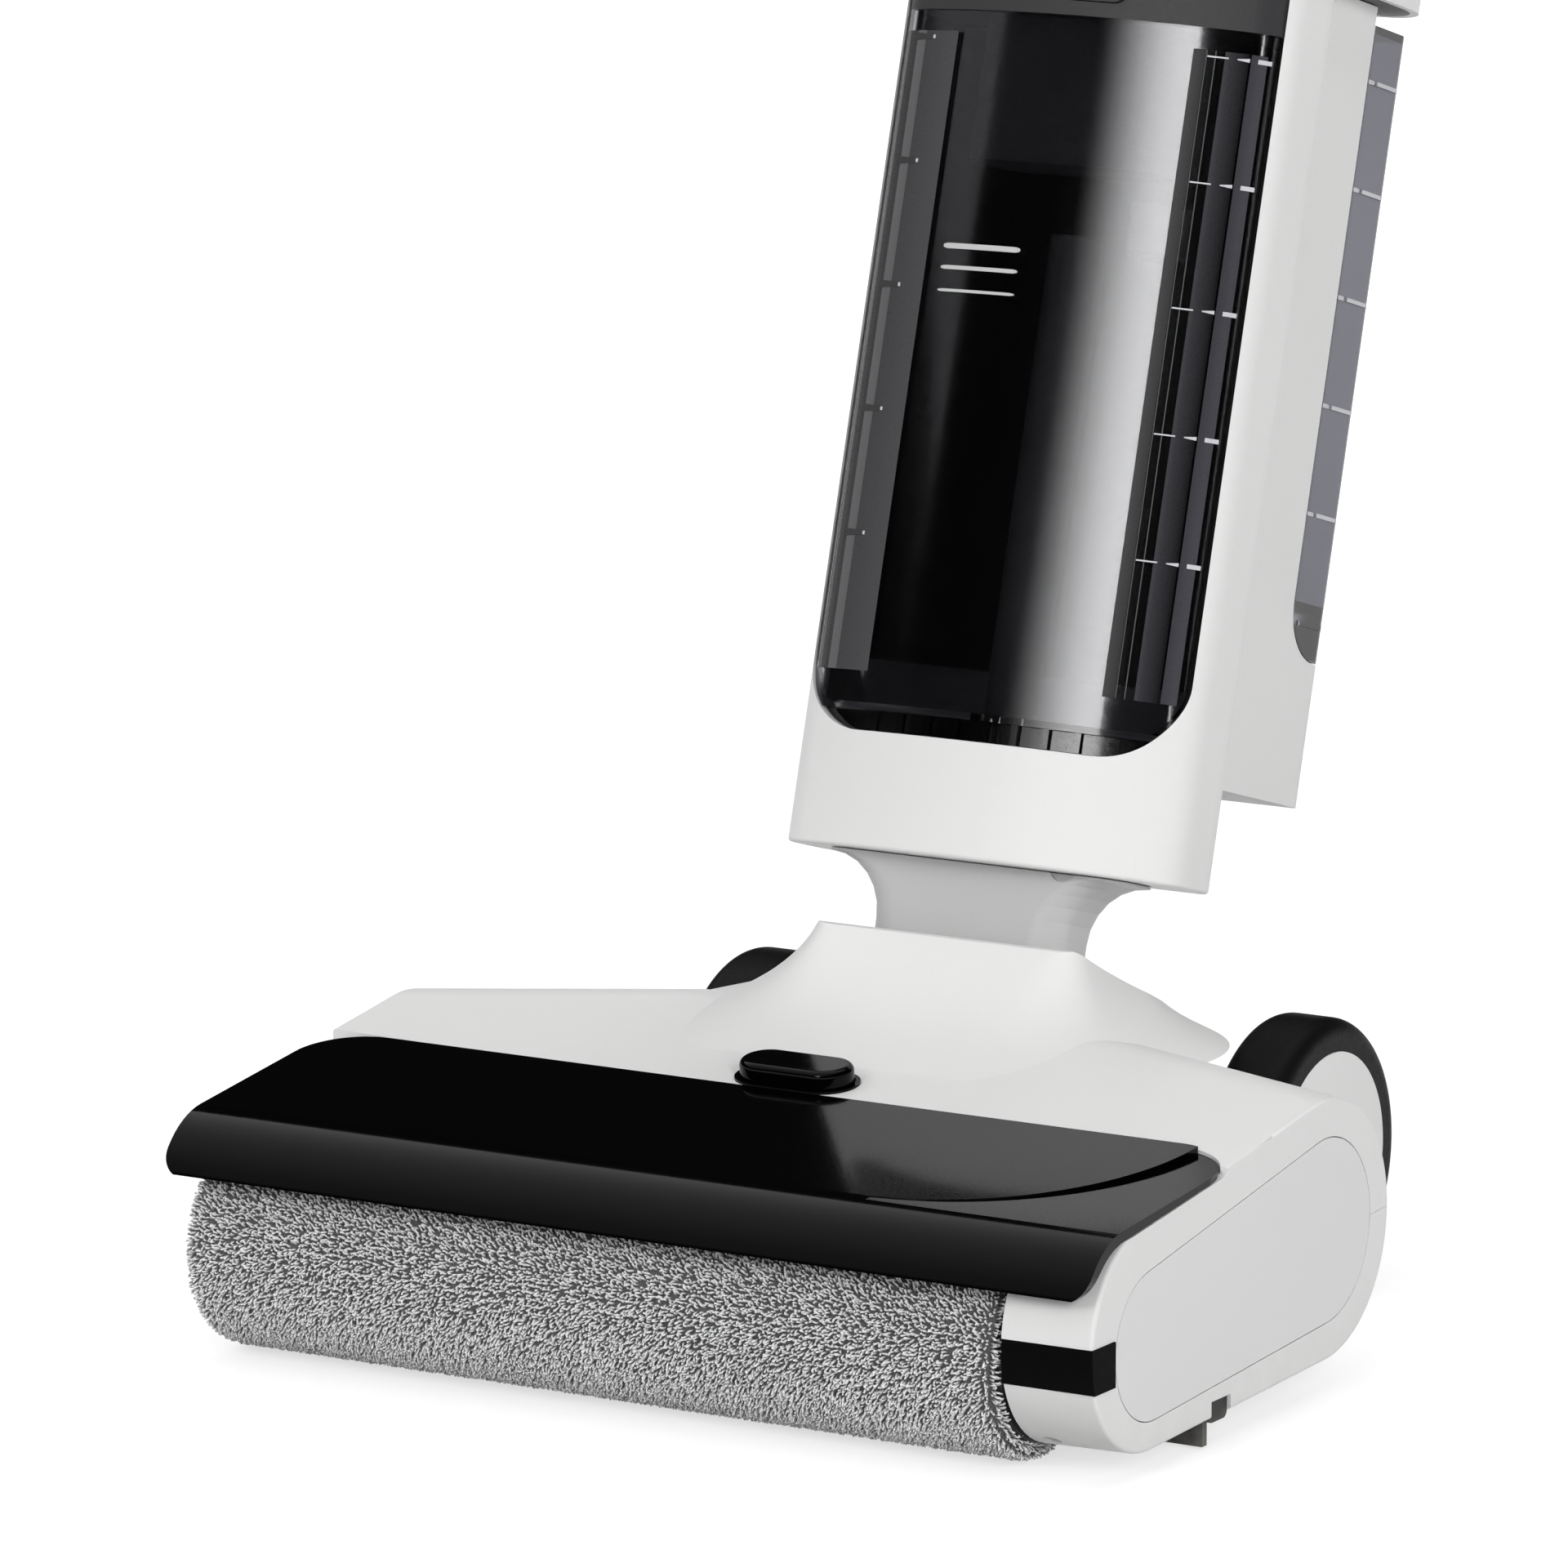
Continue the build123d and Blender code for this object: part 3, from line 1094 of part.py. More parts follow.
def clean_profile(gap):
    """Adds the side view of the clean tank, round at its lower front corner, to the open sketch."""
    with Locations((CLEAN_FRONT + gap, CLEAN_BOTTOM + gap)):
        view = Rectangle(HIGH, 2 * BAY_TOP, align=(Align.MIN, Align.MIN))
    low_front = view.vertices().group_by(Axis.Y)[0].sort_by(Axis.X)[0]
    fillet(low_front, CLEAN_ROUND)


with BuildPart() as rear_housing:
    with BuildSketch(body_level(BLOCK_BOTTOM)) as block_plan:
        with Locations((0, BLOCK_MID)):
            block = Rectangle(2 * BLOCK_HALF, BLOCK_DEPTH)
        fillet(block.vertices().group_by(Axis.Y)[-1], BLOCK_CORNER)
    extrude(amount=BAY_TOP - BLOCK_BOTTOM)
    with BuildSketch(body_side(-BODY_HALF)):
        clean_profile(0)
    extrude(amount=2 * BODY_HALF, mode=Mode.SUBTRACT)
    with BuildSketch(body_level(BLOCK_BOTTOM + BLOCK_WALL)):
        with Locations((0, BODY_BACK + BLOCK_WALL)):
            Rectangle(
                2 * (BLOCK_HALF - BLOCK_WALL),
                CLEAN_FRONT - BODY_BACK - 2 * BLOCK_WALL,
                align=(Align.CENTER, Align.MIN),
            )
    extrude(amount=BAY_TOP, mode=Mode.SUBTRACT)
finish(rear_housing, "rear_housing")

CLEAN_RIB_REACH = BLOCK_REAR - BLOCK_CORNER - CLEAN_FRONT - 2 * TANK_WALL
clean_ribs = []
rib_z = CLEAN_BOTTOM + CLEAN_RIB_START
while rib_z < CLEAN_TOP - CLEAN_RIB_STEP / 2:
    clean_ribs.append((CLEAN_FRONT + 2 * TANK_WALL, rib_z))
    rib_z += CLEAN_RIB_STEP

# Clean water tank, a hollow box with ribs on both sides and a filler cap on top
with BuildPart() as clean_tank:
    with BuildSketch(body_level(CLEAN_BOTTOM + RUN)) as tank_plan:
        with Locations((0, CLEAN_FRONT + RUN)):
            back_box = Rectangle(
                2 * BLOCK_HALF, BLOCK_REAR - CLEAN_FRONT - RUN, align=(Align.CENTER, Align.MIN)
            )
        fillet(back_box.vertices().group_by(Axis.Y)[-1], BLOCK_CORNER)
    extrude(amount=CLEAN_TOP - CLEAN_BOTTOM - RUN)
    with BuildSketch(body_side(-BODY_HALF)):
        clean_profile(RUN)
    extrude(amount=2 * BODY_HALF, mode=Mode.INTERSECT)
    with BuildSketch(body_side(-BLOCK_HALF - CLEAN_RIB_PROUD)):
        with Locations(*clean_ribs):
            Rectangle(CLEAN_RIB_REACH, CLEAN_RIB, align=(Align.MIN, Align.CENTER))
    extrude(amount=2 * (BLOCK_HALF + CLEAN_RIB_PROUD))
    with BuildSketch(body_level(CLEAN_BOTTOM + CLEAN_ROUND)):
        with Locations((0, CLEAN_FRONT + RUN + TANK_WALL)):
            Rectangle(
                2 * (BLOCK_HALF - TANK_WALL),
                BLOCK_REAR - CLEAN_FRONT - RUN - 2 * TANK_WALL,
                align=(Align.CENTER, Align.MIN),
            )
    extrude(amount=CLEAN_TOP - CLEAN_BOTTOM - CLEAN_ROUND - TANK_WALL, mode=Mode.SUBTRACT)
finish(clean_tank, "clean_tank")

with BuildPart() as clean_tank_cap:
    with BuildSketch(body_level(CLEAN_TOP, y=(CLEAN_FRONT + BLOCK_REAR) / 2)):
        Circle(CAP_R)
    extrude(amount=BAY_TOP - CLEAN_TOP - RUN)
finish(clean_tank_cap, "clean_tank_cap")

# Dirty water tank: foot, hollow shell, lid, latch, stand pipe, filter and float
TANK_HALF = BAY_HALF - TANK_GAP
TANK_RIB_X = TANK_HALF - TANK_RIB_INSET
TANK_BACK = BAY_BACK - LINER - TANK_GAP
FOOT_BOTTOM = TANK_SEAT + RUN
SHELL_BOTTOM = FOOT_BOTTOM + TANK_FOOT_HEIGHT
TANK_CORNER = BAY_CORNER - RUN
LID_TOP = TANK_TOP + LID_HEIGHT


with BuildPart() as tank_form:
    with BuildSketch(body_level(FOOT_BOTTOM)):
        add(front_section.sketch)
        offset(amount=-TANK_INSET, mode=Mode.REPLACE)
        for side in (-1, 1):
            with Locations((side * (TANK_HALF + HIGH / 2), COLUMN_EDGE_Y - RUN + HIGH / 2)):
                Rectangle(HIGH, HIGH, mode=Mode.SUBTRACT)
    extrude(amount=LID_TOP - FOOT_BOTTOM)
    with BuildSketch(body_front(TANK_BACK)):
        bay_front(BAY_HALF - RUN, TANK_CORNER, FOOT_BOTTOM, LID_TOP)
    extrude(amount=HIGH, mode=Mode.INTERSECT)

with BuildPart() as tank_void:
    with BuildSketch(body_level(SHELL_BOTTOM + TANK_WALL)):
        add(front_section.sketch)
        offset(amount=-TANK_INSET - TANK_WALL, mode=Mode.REPLACE)
    extrude(amount=HIGH + LID_TOP)
    with BuildSketch(body_front(TANK_BACK - TANK_WALL)):
        bay_front(TANK_HALF - TANK_WALL, TANK_CORNER - TANK_WALL, FOOT_BOTTOM + TANK_WALL, HIGH + LID_TOP)
    extrude(amount=HIGH, mode=Mode.INTERSECT)

# Thin ribs inside the tank's front corners
RIB_OUTER = TANK_INSET + TANK_WALL / 2
RIB_INNER = TANK_INSET + TANK_WALL + TANK_RIB_PROUD
rib_band = offset(front_section.sketch, amount=-RIB_OUTER, mode=Mode.PRIVATE)
rib_core = offset(front_section.sketch, amount=-RIB_INNER, mode=Mode.PRIVATE)
tank_rib_z = TANK_RIB_START
with BuildPart() as tank_ribs:
    while tank_rib_z < TANK_TOP - TANK_WALL:
        with BuildSketch(body_level(tank_rib_z)):
            add(rib_band)
            add(rib_core, mode=Mode.SUBTRACT)
            Rectangle(2 * TANK_RIB_X, HIGH, mode=Mode.SUBTRACT)
            with Locations((0, COLUMN_EDGE_Y)):
                Rectangle(HIGH, HIGH, align=(Align.CENTER, Align.MIN), mode=Mode.SUBTRACT)
        extrude(amount=TANK_RIB)
        tank_rib_z += TANK_RIB_STEP

with BuildPart() as dirty_tank:
    add(tank_form.part)
    split(bisect_by=body_level(SHELL_BOTTOM), keep=Keep.TOP)
    split(bisect_by=body_level(TANK_TOP), keep=Keep.BOTTOM)
    add(tank_void.part, mode=Mode.SUBTRACT)
    add(tank_ribs.part)
    with BuildSketch(body_level(SHELL_BOTTOM, y=SWIVEL_Y)):
        Circle(STANDPIPE_R + SEAT)
    extrude(amount=TANK_WALL, mode=Mode.SUBTRACT)
finish(dirty_tank, "dirty_tank")

FOOT_RIBS = int(2 * (TANK_HALF - TANK_CORNER) / FOOT_RIB_STEP)
foot_line = offset(front_section.sketch, amount=-TANK_FOOT_INSET / 2, mode=Mode.PRIVATE)
with BuildPart() as dirty_tank_foot:
    add(tank_form.part)
    split(bisect_by=body_level(SHELL_BOTTOM), keep=Keep.BOTTOM)
    with BuildSketch(body_level(FOOT_BOTTOM)):
        add(front_section.sketch)
        offset(amount=-TANK_FOOT_INSET, mode=Mode.REPLACE)
    extrude(amount=TANK_FOOT_HEIGHT, mode=Mode.INTERSECT)
    with BuildSketch(body_level(FOOT_BOTTOM)):
        with GridLocations(FOOT_RIB_STEP, 1, FOOT_RIBS, 1):
            Rectangle(FOOT_RIB, HIGH, align=(Align.CENTER, Align.MAX))
        add(foot_line, mode=Mode.INTERSECT)
    extrude(amount=TANK_FOOT_HEIGHT)
    with BuildSketch(body_level(FOOT_BOTTOM, y=SWIVEL_Y)):
        Circle(STANDPIPE_R + SEAT)
    extrude(amount=TANK_FOOT_HEIGHT, mode=Mode.SUBTRACT)
finish(dirty_tank_foot, "dirty_tank_foot")

LATCH_MID = TANK_TOP + LID_HEIGHT / 2
with BuildPart() as dirty_tank_lid:
    add(tank_form.part)
    split(bisect_by=body_level(TANK_TOP), keep=Keep.TOP)
    with BuildSketch(body_front(BODY_FRONT + LATCH_DEPTH + LATCH_TRAVEL)):
        with Locations((0, LATCH_MID)):
            SlotOverall(LATCH_WIDTH + 2 * RUN, LATCH_HEIGHT + 2 * RUN)
    extrude(amount=HIGH, mode=Mode.SUBTRACT)
finish(dirty_tank_lid, "dirty_tank_lid")

with BuildPart() as tank_latch:
    with BuildSketch(body_front(BODY_FRONT + LATCH_DEPTH)):
        with Locations((0, LATCH_MID)):
            SlotOverall(LATCH_WIDTH, LATCH_HEIGHT)
    extrude(amount=LATCH_DEPTH - TANK_INSET)
finish(tank_latch, "tank_latch")

with BuildPart() as standpipe:
    with BuildSketch(body_level(FOOT_BOTTOM, y=SWIVEL_Y)):
        Circle(STANDPIPE_R)
        Circle(STANDPIPE_R - STANDPIPE_WALL, mode=Mode.SUBTRACT)
    extrude(amount=STANDPIPE_TOP - FOOT_BOTTOM)
finish(standpipe, "standpipe")

FILTER_BOTTOM = TANK_TOP - FILTER_HEIGHT
FLOAT_BOTTOM = FILTER_BOTTOM - FLOAT_TRAVEL - FLOAT_HEIGHT - RUN
with BuildPart() as tank_filter:
    with BuildSketch(body_level(FILTER_BOTTOM, y=FILTER_Y)):
        RectangleRounded(FILTER_WIDTH, FILTER_DEPTH, FILTER_DEPTH / 3)
    extrude(amount=FILTER_HEIGHT)
    with BuildSketch(body_level(FLOAT_BOTTOM - RUN, x=FLOAT_X, y=FILTER_Y)):
        Circle(ROD_R)
    extrude(amount=FILTER_BOTTOM - FLOAT_BOTTOM + RUN)
    with BuildSketch(body_level(FLOAT_BOTTOM - RUN, x=FLOAT_X, y=FILTER_Y)):
        Circle(2 * ROD_R)
    extrude(amount=-ROD_R)
finish(tank_filter, "tank_filter")

with BuildPart() as tank_float:
    with BuildSketch(body_level(FLOAT_BOTTOM, x=FLOAT_X, y=FILTER_Y)):
        Circle(FLOAT_R)
        Circle(ROD_R + RUN, mode=Mode.SUBTRACT)
    extrude(amount=FLOAT_HEIGHT)
finish(tank_float, "tank_float")

# Battery, control board and water pump, standing in the rear housing
CAVITY_FRONT = BODY_BACK + BLOCK_WALL
CAVITY_FLOOR = BLOCK_BOTTOM + BLOCK_WALL
with BuildPart() as battery_pack:
    with BuildSketch(body_level(CAVITY_FLOOR, y=CAVITY_FRONT)):
        Rectangle(BATTERY[0], BATTERY[1], align=(Align.CENTER, Align.MIN))
    extrude(amount=BATTERY[2])
    fillet(battery_pack.edges().group_by(SortBy.LENGTH)[0], BLOCK_CORNER / 2)
finish(battery_pack, "battery_pack")

BOARD_FLOOR = CAVITY_FLOOR + BATTERY[2]
with BuildPart() as control_board:
    with BuildSketch(body_level(BOARD_FLOOR, y=CAVITY_FRONT)):
        Rectangle(BOARD[0], BOARD[1], align=(Align.CENTER, Align.MIN))
    extrude(amount=BOARD[2])
finish(control_board, "control_board")

with BuildPart() as water_pump:
    pump_y = CLEAN_FRONT - BLOCK_WALL - PUMP_R
    with BuildSketch(body_level(BOARD_FLOOR, x=PUMP_X, y=pump_y)):
        Circle(PUMP_R)
    extrude(amount=PUMP_LENGTH)
finish(water_pump, "water_pump")

# Upper housing: a hollow shoulder that narrows to the handle socket
HOUSING_BOTTOM = BAY_TOP + RUN
HOUSING_MID = (BODY_FRONT + BLOCK_REAR) / 2
HOUSING_DEPTH = BLOCK_REAR - BODY_FRONT
CAVITY_TOP = HOUSING_TOP - SOCKET_DEPTH - HOUSING_WALL
NECK_SHARE = (CAVITY_TOP - HOUSING_SHOULDER) / (HOUSING_TOP - HOUSING_SHOULDER)


def between(low, high):
    """Size of the narrowing housing at the top of its cavity."""
    return low + (high - low) * NECK_SHARE


with BuildPart() as upper_housing:
    with BuildSketch(body_level(HOUSING_BOTTOM, y=HOUSING_MID)):
        RectangleRounded(2 * BODY_HALF, HOUSING_DEPTH, HOUSING_CORNER)
    extrude(amount=HOUSING_SHOULDER - HOUSING_BOTTOM)
    with BuildSketch(body_level(HOUSING_SHOULDER, y=HOUSING_MID)):
        RectangleRounded(2 * BODY_HALF, HOUSING_DEPTH, HOUSING_CORNER)
    with BuildSketch(body_level(HOUSING_TOP, y=HANDLE_Y)):
        RectangleRounded(HOUSING_NECK[0], HOUSING_NECK[1], HOUSING_NECK[2])
    loft(ruled=True)
    inner_width = 2 * (BODY_HALF - HOUSING_WALL)
    inner_depth = HOUSING_DEPTH - 2 * HOUSING_WALL
    inner_corner = HOUSING_CORNER - HOUSING_WALL
    with BuildSketch(body_level(HOUSING_BOTTOM, y=HOUSING_MID)):
        RectangleRounded(inner_width, inner_depth, inner_corner)
    extrude(amount=HOUSING_SHOULDER - HOUSING_BOTTOM, mode=Mode.SUBTRACT)
    with BuildSketch(body_level(HOUSING_SHOULDER, y=HOUSING_MID)):
        RectangleRounded(inner_width, inner_depth, inner_corner)
    with BuildSketch(body_level(CAVITY_TOP, y=between(HOUSING_MID, HANDLE_Y))):
        RectangleRounded(
            between(inner_width, HOUSING_NECK[0] - 2 * HOUSING_WALL),
            between(inner_depth, HOUSING_NECK[1] - 2 * HOUSING_WALL),
            between(inner_corner, HOUSING_NECK[2] - HOUSING_WALL),
        )
    loft(ruled=True, mode=Mode.SUBTRACT)
    with BuildSketch(body_level(HOUSING_TOP - SOCKET_DEPTH, y=HANDLE_Y)):
        Circle(TUBE_R + SHAFT_FIT)
    extrude(amount=SOCKET_DEPTH, mode=Mode.SUBTRACT)
    with BuildSketch(body_front(BODY_FRONT + DISPLAY_THICK)):
        with Locations((0, DISPLAY_Z)):
            Circle(DISPLAY_R + SEAT)
    extrude(amount=DISPLAY_THICK, mode=Mode.SUBTRACT)
finish(upper_housing, "upper_housing")

with BuildPart() as display_lens:
    with BuildSketch(body_front(BODY_FRONT + DISPLAY_THICK)):
        with Locations((0, DISPLAY_Z)):
            Circle(DISPLAY_R)
    extrude(amount=DISPLAY_THICK)
finish(display_lens, "display_lens")

# Floor of the upper housing with the fan's air inlet
with BuildPart() as fan_floor:
    with BuildSketch(body_level(HOUSING_BOTTOM, y=HOUSING_MID)):
        RectangleRounded(inner_width - 2 * SEAT, inner_depth - 2 * SEAT, inner_corner)
    extrude(amount=FLOOR_PLATE)
    with BuildSketch(body_level(HOUSING_BOTTOM, y=FAN_Y)):
        Circle(INLET_R)
    extrude(amount=FLOOR_PLATE, mode=Mode.SUBTRACT)
finish(fan_floor, "fan_floor")

# Fan: shroud, bladed impeller on its shaft, and motor
SHROUD_BOTTOM = HOUSING_BOTTOM + FLOOR_PLATE
SHROUD_TOP = SHROUD_BOTTOM + FAN_HEIGHT + 4 * RUN
with BuildPart() as fan_shroud:
    with BuildSketch(body_level(SHROUD_BOTTOM, y=FAN_Y)):
        Circle(FAN_R + 2 * RUN + SHROUD_WALL)
    extrude(amount=SHROUD_TOP - SHROUD_BOTTOM + SHROUD_WALL)
    with BuildSketch(body_level(SHROUD_BOTTOM, y=FAN_Y)):
        Circle(FAN_R + 2 * RUN)
    extrude(amount=SHROUD_TOP - SHROUD_BOTTOM, mode=Mode.SUBTRACT)
    with BuildSketch(body_level(SHROUD_TOP, y=FAN_Y)):
        Circle(FAN_SHAFT_R + SHAFT_FIT)
    extrude(amount=SHROUD_WALL, mode=Mode.SUBTRACT)
finish(fan_shroud, "fan_shroud")

FAN_BOTTOM = SHROUD_BOTTOM + 2 * RUN
BLADE_SPAN = FAN_R - INLET_R
with BuildPart() as fan_impeller:
    with BuildSketch(body_level(FAN_BOTTOM + FAN_HEIGHT * 0.75, y=FAN_Y)):
        Circle(FAN_R)
    extrude(amount=FAN_HEIGHT * 0.25)
    with BuildSketch(body_level(FAN_BOTTOM, y=FAN_Y)):
        with PolarLocations(INLET_R, FAN_BLADES):
            Rectangle(BLADE_SPAN, BLADE_THICK, align=(Align.MIN, Align.CENTER), rotation=BLADE_TURN)
        Circle(FAN_R, mode=Mode.INTERSECT)
    extrude(amount=FAN_HEIGHT)
    with BuildSketch(body_level(FAN_BOTTOM + FAN_HEIGHT * 0.75, y=FAN_Y)):
        Circle(FAN_SHAFT_R)
    extrude(amount=FAN_HEIGHT + SHROUD_WALL)
finish(fan_impeller, "fan_impeller")

with BuildPart() as fan_motor:
    with BuildSketch(body_level(SHROUD_TOP + SHROUD_WALL, y=FAN_Y)):
        Circle(FAN_MOTOR_R)
    extrude(amount=FAN_MOTOR_HEIGHT)
    with BuildSketch(body_level(SHROUD_TOP + SHROUD_WALL, y=FAN_Y)):
        Circle(FAN_SHAFT_R + SHAFT_FIT)
    extrude(amount=FAN_HEIGHT, mode=Mode.SUBTRACT)
finish(fan_motor, "fan_motor")

# Handle tube and grip
with BuildPart() as handle_tube:
    with BuildSketch(body_level(HOUSING_TOP - SOCKET_DEPTH, y=HANDLE_Y)):
        Circle(TUBE_R)
        Circle(TUBE_R - TUBE_WALL, mode=Mode.SUBTRACT)
    extrude(amount=TUBE_END - HOUSING_TOP + SOCKET_DEPTH)
finish(handle_tube, "handle_tube")

GRIP_AXIS = Axis(body_point(0, HANDLE_Y, 0), (0, sin(LEAN), cos(LEAN)))
GRIP_PLANE = Plane(origin=body_point(0, HANDLE_Y, 0), x_dir=(1, 0, 0), z_dir=(0, -cos(LEAN), sin(LEAN)))


def key_plane(z):
    """Plane at the bottom of a key's pocket in the grip's flat, facing the front."""
    pocket = body_point(0, HANDLE_Y - GRIP_FLAT + KEY_DEPTH, z)
    return Plane(origin=pocket, x_dir=(1, 0, 0), z_dir=(0, -cos(LEAN), sin(LEAN)))


with BuildPart() as grip:
    with BuildSketch(GRIP_PLANE):
        with BuildLine():
            base_line = Line((0, GRIP_START), (GRIP_WAIST_R, GRIP_START))
            collar_side = Line(base_line @ 1, (GRIP_WAIST_R, GRIP_COLLAR_TOP))
            swell = Spline(
                (GRIP_WAIST_R, GRIP_COLLAR_TOP),
                (GRIP_R, GRIP_END),
                tangents=((0, 1), (0, 1)),
            )
            dome = CenterArc((0, GRIP_END), GRIP_R, 0, 90)
            Line(dome @ 1, base_line @ 0)
        make_face()
    revolve(axis=GRIP_AXIS)
    with BuildSketch(body_level(GRIP_START, y=HANDLE_Y)):
        Circle(TUBE_R + SHAFT_FIT)
    extrude(amount=TUBE_END - GRIP_START + RUN, mode=Mode.SUBTRACT)
    with BuildSketch(body_front(HANDLE_Y - GRIP_FLAT)):
        with Locations((0, (POWER_Z + MODE_Z) / 2)):
            SlotOverall(POWER_Z - MODE_Z + 6 * KEY_R, 4 * KEY_R, rotation=90)
    extrude(amount=HIGH, mode=Mode.SUBTRACT)
    for key_z in (POWER_Z, MODE_Z):
        with BuildSketch(key_plane(key_z)):
            Circle(KEY_R + RUN)
        extrude(amount=HIGH, mode=Mode.SUBTRACT)
    with BuildSketch(body_level(GRIP_END + GRIP_R - 2 * KEY_DEPTH, y=HANDLE_Y)):
        Circle(CLEAN_KEY_R + RUN)
    extrude(amount=HIGH, mode=Mode.SUBTRACT)
finish(grip, "grip")

for key_z, key_name in ((POWER_Z, "power_key"), (MODE_Z, "mode_key")):
    with BuildPart() as key:
        with BuildSketch(key_plane(key_z).offset(2 * KEY_RISE)):
            Circle(KEY_R)
        extrude(amount=KEY_DEPTH - KEY_RISE)
    finish(key, key_name)

with BuildPart() as self_clean_key:
    with BuildSketch(body_level(GRIP_END + GRIP_R - 2 * KEY_DEPTH + 2 * KEY_RISE, y=HANDLE_Y)):
        Circle(CLEAN_KEY_R)
    extrude(amount=KEY_DEPTH)
finish(self_clean_key, "self_clean_key")
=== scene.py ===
from math import cos, pi, radians, sin

import bmesh
import bpy
from mathutils import Euler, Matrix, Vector
from mathutils.bvhtree import BVHTree


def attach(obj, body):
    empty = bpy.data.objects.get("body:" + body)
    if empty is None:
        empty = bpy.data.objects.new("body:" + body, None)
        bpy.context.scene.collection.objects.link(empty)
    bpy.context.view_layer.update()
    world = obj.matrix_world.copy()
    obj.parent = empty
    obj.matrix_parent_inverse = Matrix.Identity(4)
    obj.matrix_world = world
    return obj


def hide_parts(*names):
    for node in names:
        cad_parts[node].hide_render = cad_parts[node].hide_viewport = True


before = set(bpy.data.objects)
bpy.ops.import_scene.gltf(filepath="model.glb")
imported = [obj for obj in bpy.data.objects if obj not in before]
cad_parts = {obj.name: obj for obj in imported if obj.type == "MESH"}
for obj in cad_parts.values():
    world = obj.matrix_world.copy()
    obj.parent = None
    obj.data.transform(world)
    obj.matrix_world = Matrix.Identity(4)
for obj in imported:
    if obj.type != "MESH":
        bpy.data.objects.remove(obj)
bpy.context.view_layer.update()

# Floor head: two satin mouldings of white styrene plastic, parted on a rising seam and
# screwed together from below. The tool's spark-eroded skin shows as a very fine grain.
# The lower one takes a little floor dust.
SHELL_WHITE = (0.79, 0.79, 0.785, 1.0)
SHELL_GLOSS = 0.42
SHELL_GRAIN = 1500.0
SHELL_DEPTH = 0.00006
SHELL_SHADE = 0.02
DUST_GREY = (0.42, 0.40, 0.37, 1.0)


def add(tree, kind, inputs=None, **settings):
    """Adds a node. Settings are its own switches; inputs go by name or place, as values or as links."""
    made = tree.nodes.new(kind)
    for name, value in settings.items():
        setattr(made, name, value)
    for name, value in (inputs or {}).items():
        if isinstance(value, bpy.types.NodeSocket):
            tree.links.new(value, made.inputs[name])
        else:
            made.inputs[name].default_value = value
    return made


def new_group(name, kind, inputs, outputs):
    """An empty node group with named sockets, its input node and its output node."""
    tree = bpy.data.node_groups.new(name, kind)
    for label, socket in inputs:
        tree.interface.new_socket(label, in_out="INPUT", socket_type=socket)
    for label, socket in outputs:
        tree.interface.new_socket(label, in_out="OUTPUT", socket_type=socket)
    return tree, tree.nodes.new("NodeGroupInput"), tree.nodes.new("NodeGroupOutput")


def make_moulded_skin():
    """Soft clouds of tone and a fine grain, as a moulded plastic face has."""
    tree, given, result = new_group(
        "moulded_skin", "ShaderNodeTree",
        (("Vector", "NodeSocketVector"), ("Colour", "NodeSocketColor"), ("Shade", "NodeSocketFloat"),
         ("Roughness", "NodeSocketFloat"), ("Grain", "NodeSocketFloat")),
        (("Colour", "NodeSocketColor"), ("Roughness", "NodeSocketFloat"), ("Height", "NodeSocketFloat")))
    place = given.outputs
    cloud = add(tree, "ShaderNodeTexNoise", {"Vector": place["Vector"], "Scale": 16.0, "Detail": 3.0})
    darker = add(tree, "ShaderNodeMath", {0: 1.0, 1: place["Shade"]}, operation="SUBTRACT")
    tone = add(tree, "ShaderNodeMapRange", {"Value": cloud.outputs["Fac"], "From Min": 0.3, "From Max": 0.7,
                                            "To Min": darker.outputs[0], "To Max": 1.0})
    colour = add(tree, "ShaderNodeVectorMath", {0: place["Colour"], "Scale": tone.outputs["Result"]},
                 operation="SCALE")
    grain = add(tree, "ShaderNodeTexNoise", {"Vector": place["Vector"], "Scale": place["Grain"],
                                             "Detail": 2.0, "Roughness": 0.6})
    sway = add(tree, "ShaderNodeMapRange", {"Value": grain.outputs["Fac"], "From Min": 0.3, "From Max": 0.7,
                                            "To Min": -0.05, "To Max": 0.05})
    rough = add(tree, "ShaderNodeMath", {0: place["Roughness"], 1: sway.outputs["Result"]}, operation="ADD")
    tree.links.new(colour.outputs["Vector"], result.inputs["Colour"])
    tree.links.new(rough.outputs[0], result.inputs["Roughness"])
    tree.links.new(grain.outputs["Fac"], result.inputs["Height"])
    return tree


def make_floor_dust():
    """A patchy mask that is full at the floor and fades out at a height."""
    tree, given, result = new_group(
        "floor_dust", "ShaderNodeTree",
        (("Vector", "NodeSocketVector"), ("Height", "NodeSocketFloat"), ("Amount", "NodeSocketFloat")),
        (("Mask", "NodeSocketFloat"),))
    level = add(tree, "ShaderNodeSeparateXYZ", {0: given.outputs["Vector"]})
    low = add(tree, "ShaderNodeMapRange", {"Value": level.outputs["Z"], "From Min": 0.0,
                                           "From Max": given.outputs["Height"], "To Min": 1.0, "To Max": 0.0})
    patch = add(tree, "ShaderNodeTexNoise", {"Vector": given.outputs["Vector"], "Scale": 120.0,
                                             "Detail": 4.0})
    patchy = add(tree, "ShaderNodeMapRange", {"Value": patch.outputs["Fac"], "From Min": 0.35,
                                              "From Max": 0.75})
    both = add(tree, "ShaderNodeMath", {0: low.outputs["Result"], 1: patchy.outputs["Result"]},
               operation="MULTIPLY")
    mask = add(tree, "ShaderNodeMath", {0: both.outputs[0], 1: given.outputs["Amount"]}, operation="MULTIPLY")
    tree.links.new(mask.outputs[0], result.inputs["Mask"])
    return tree


moulded_skin = make_moulded_skin()
floor_dust = make_floor_dust()


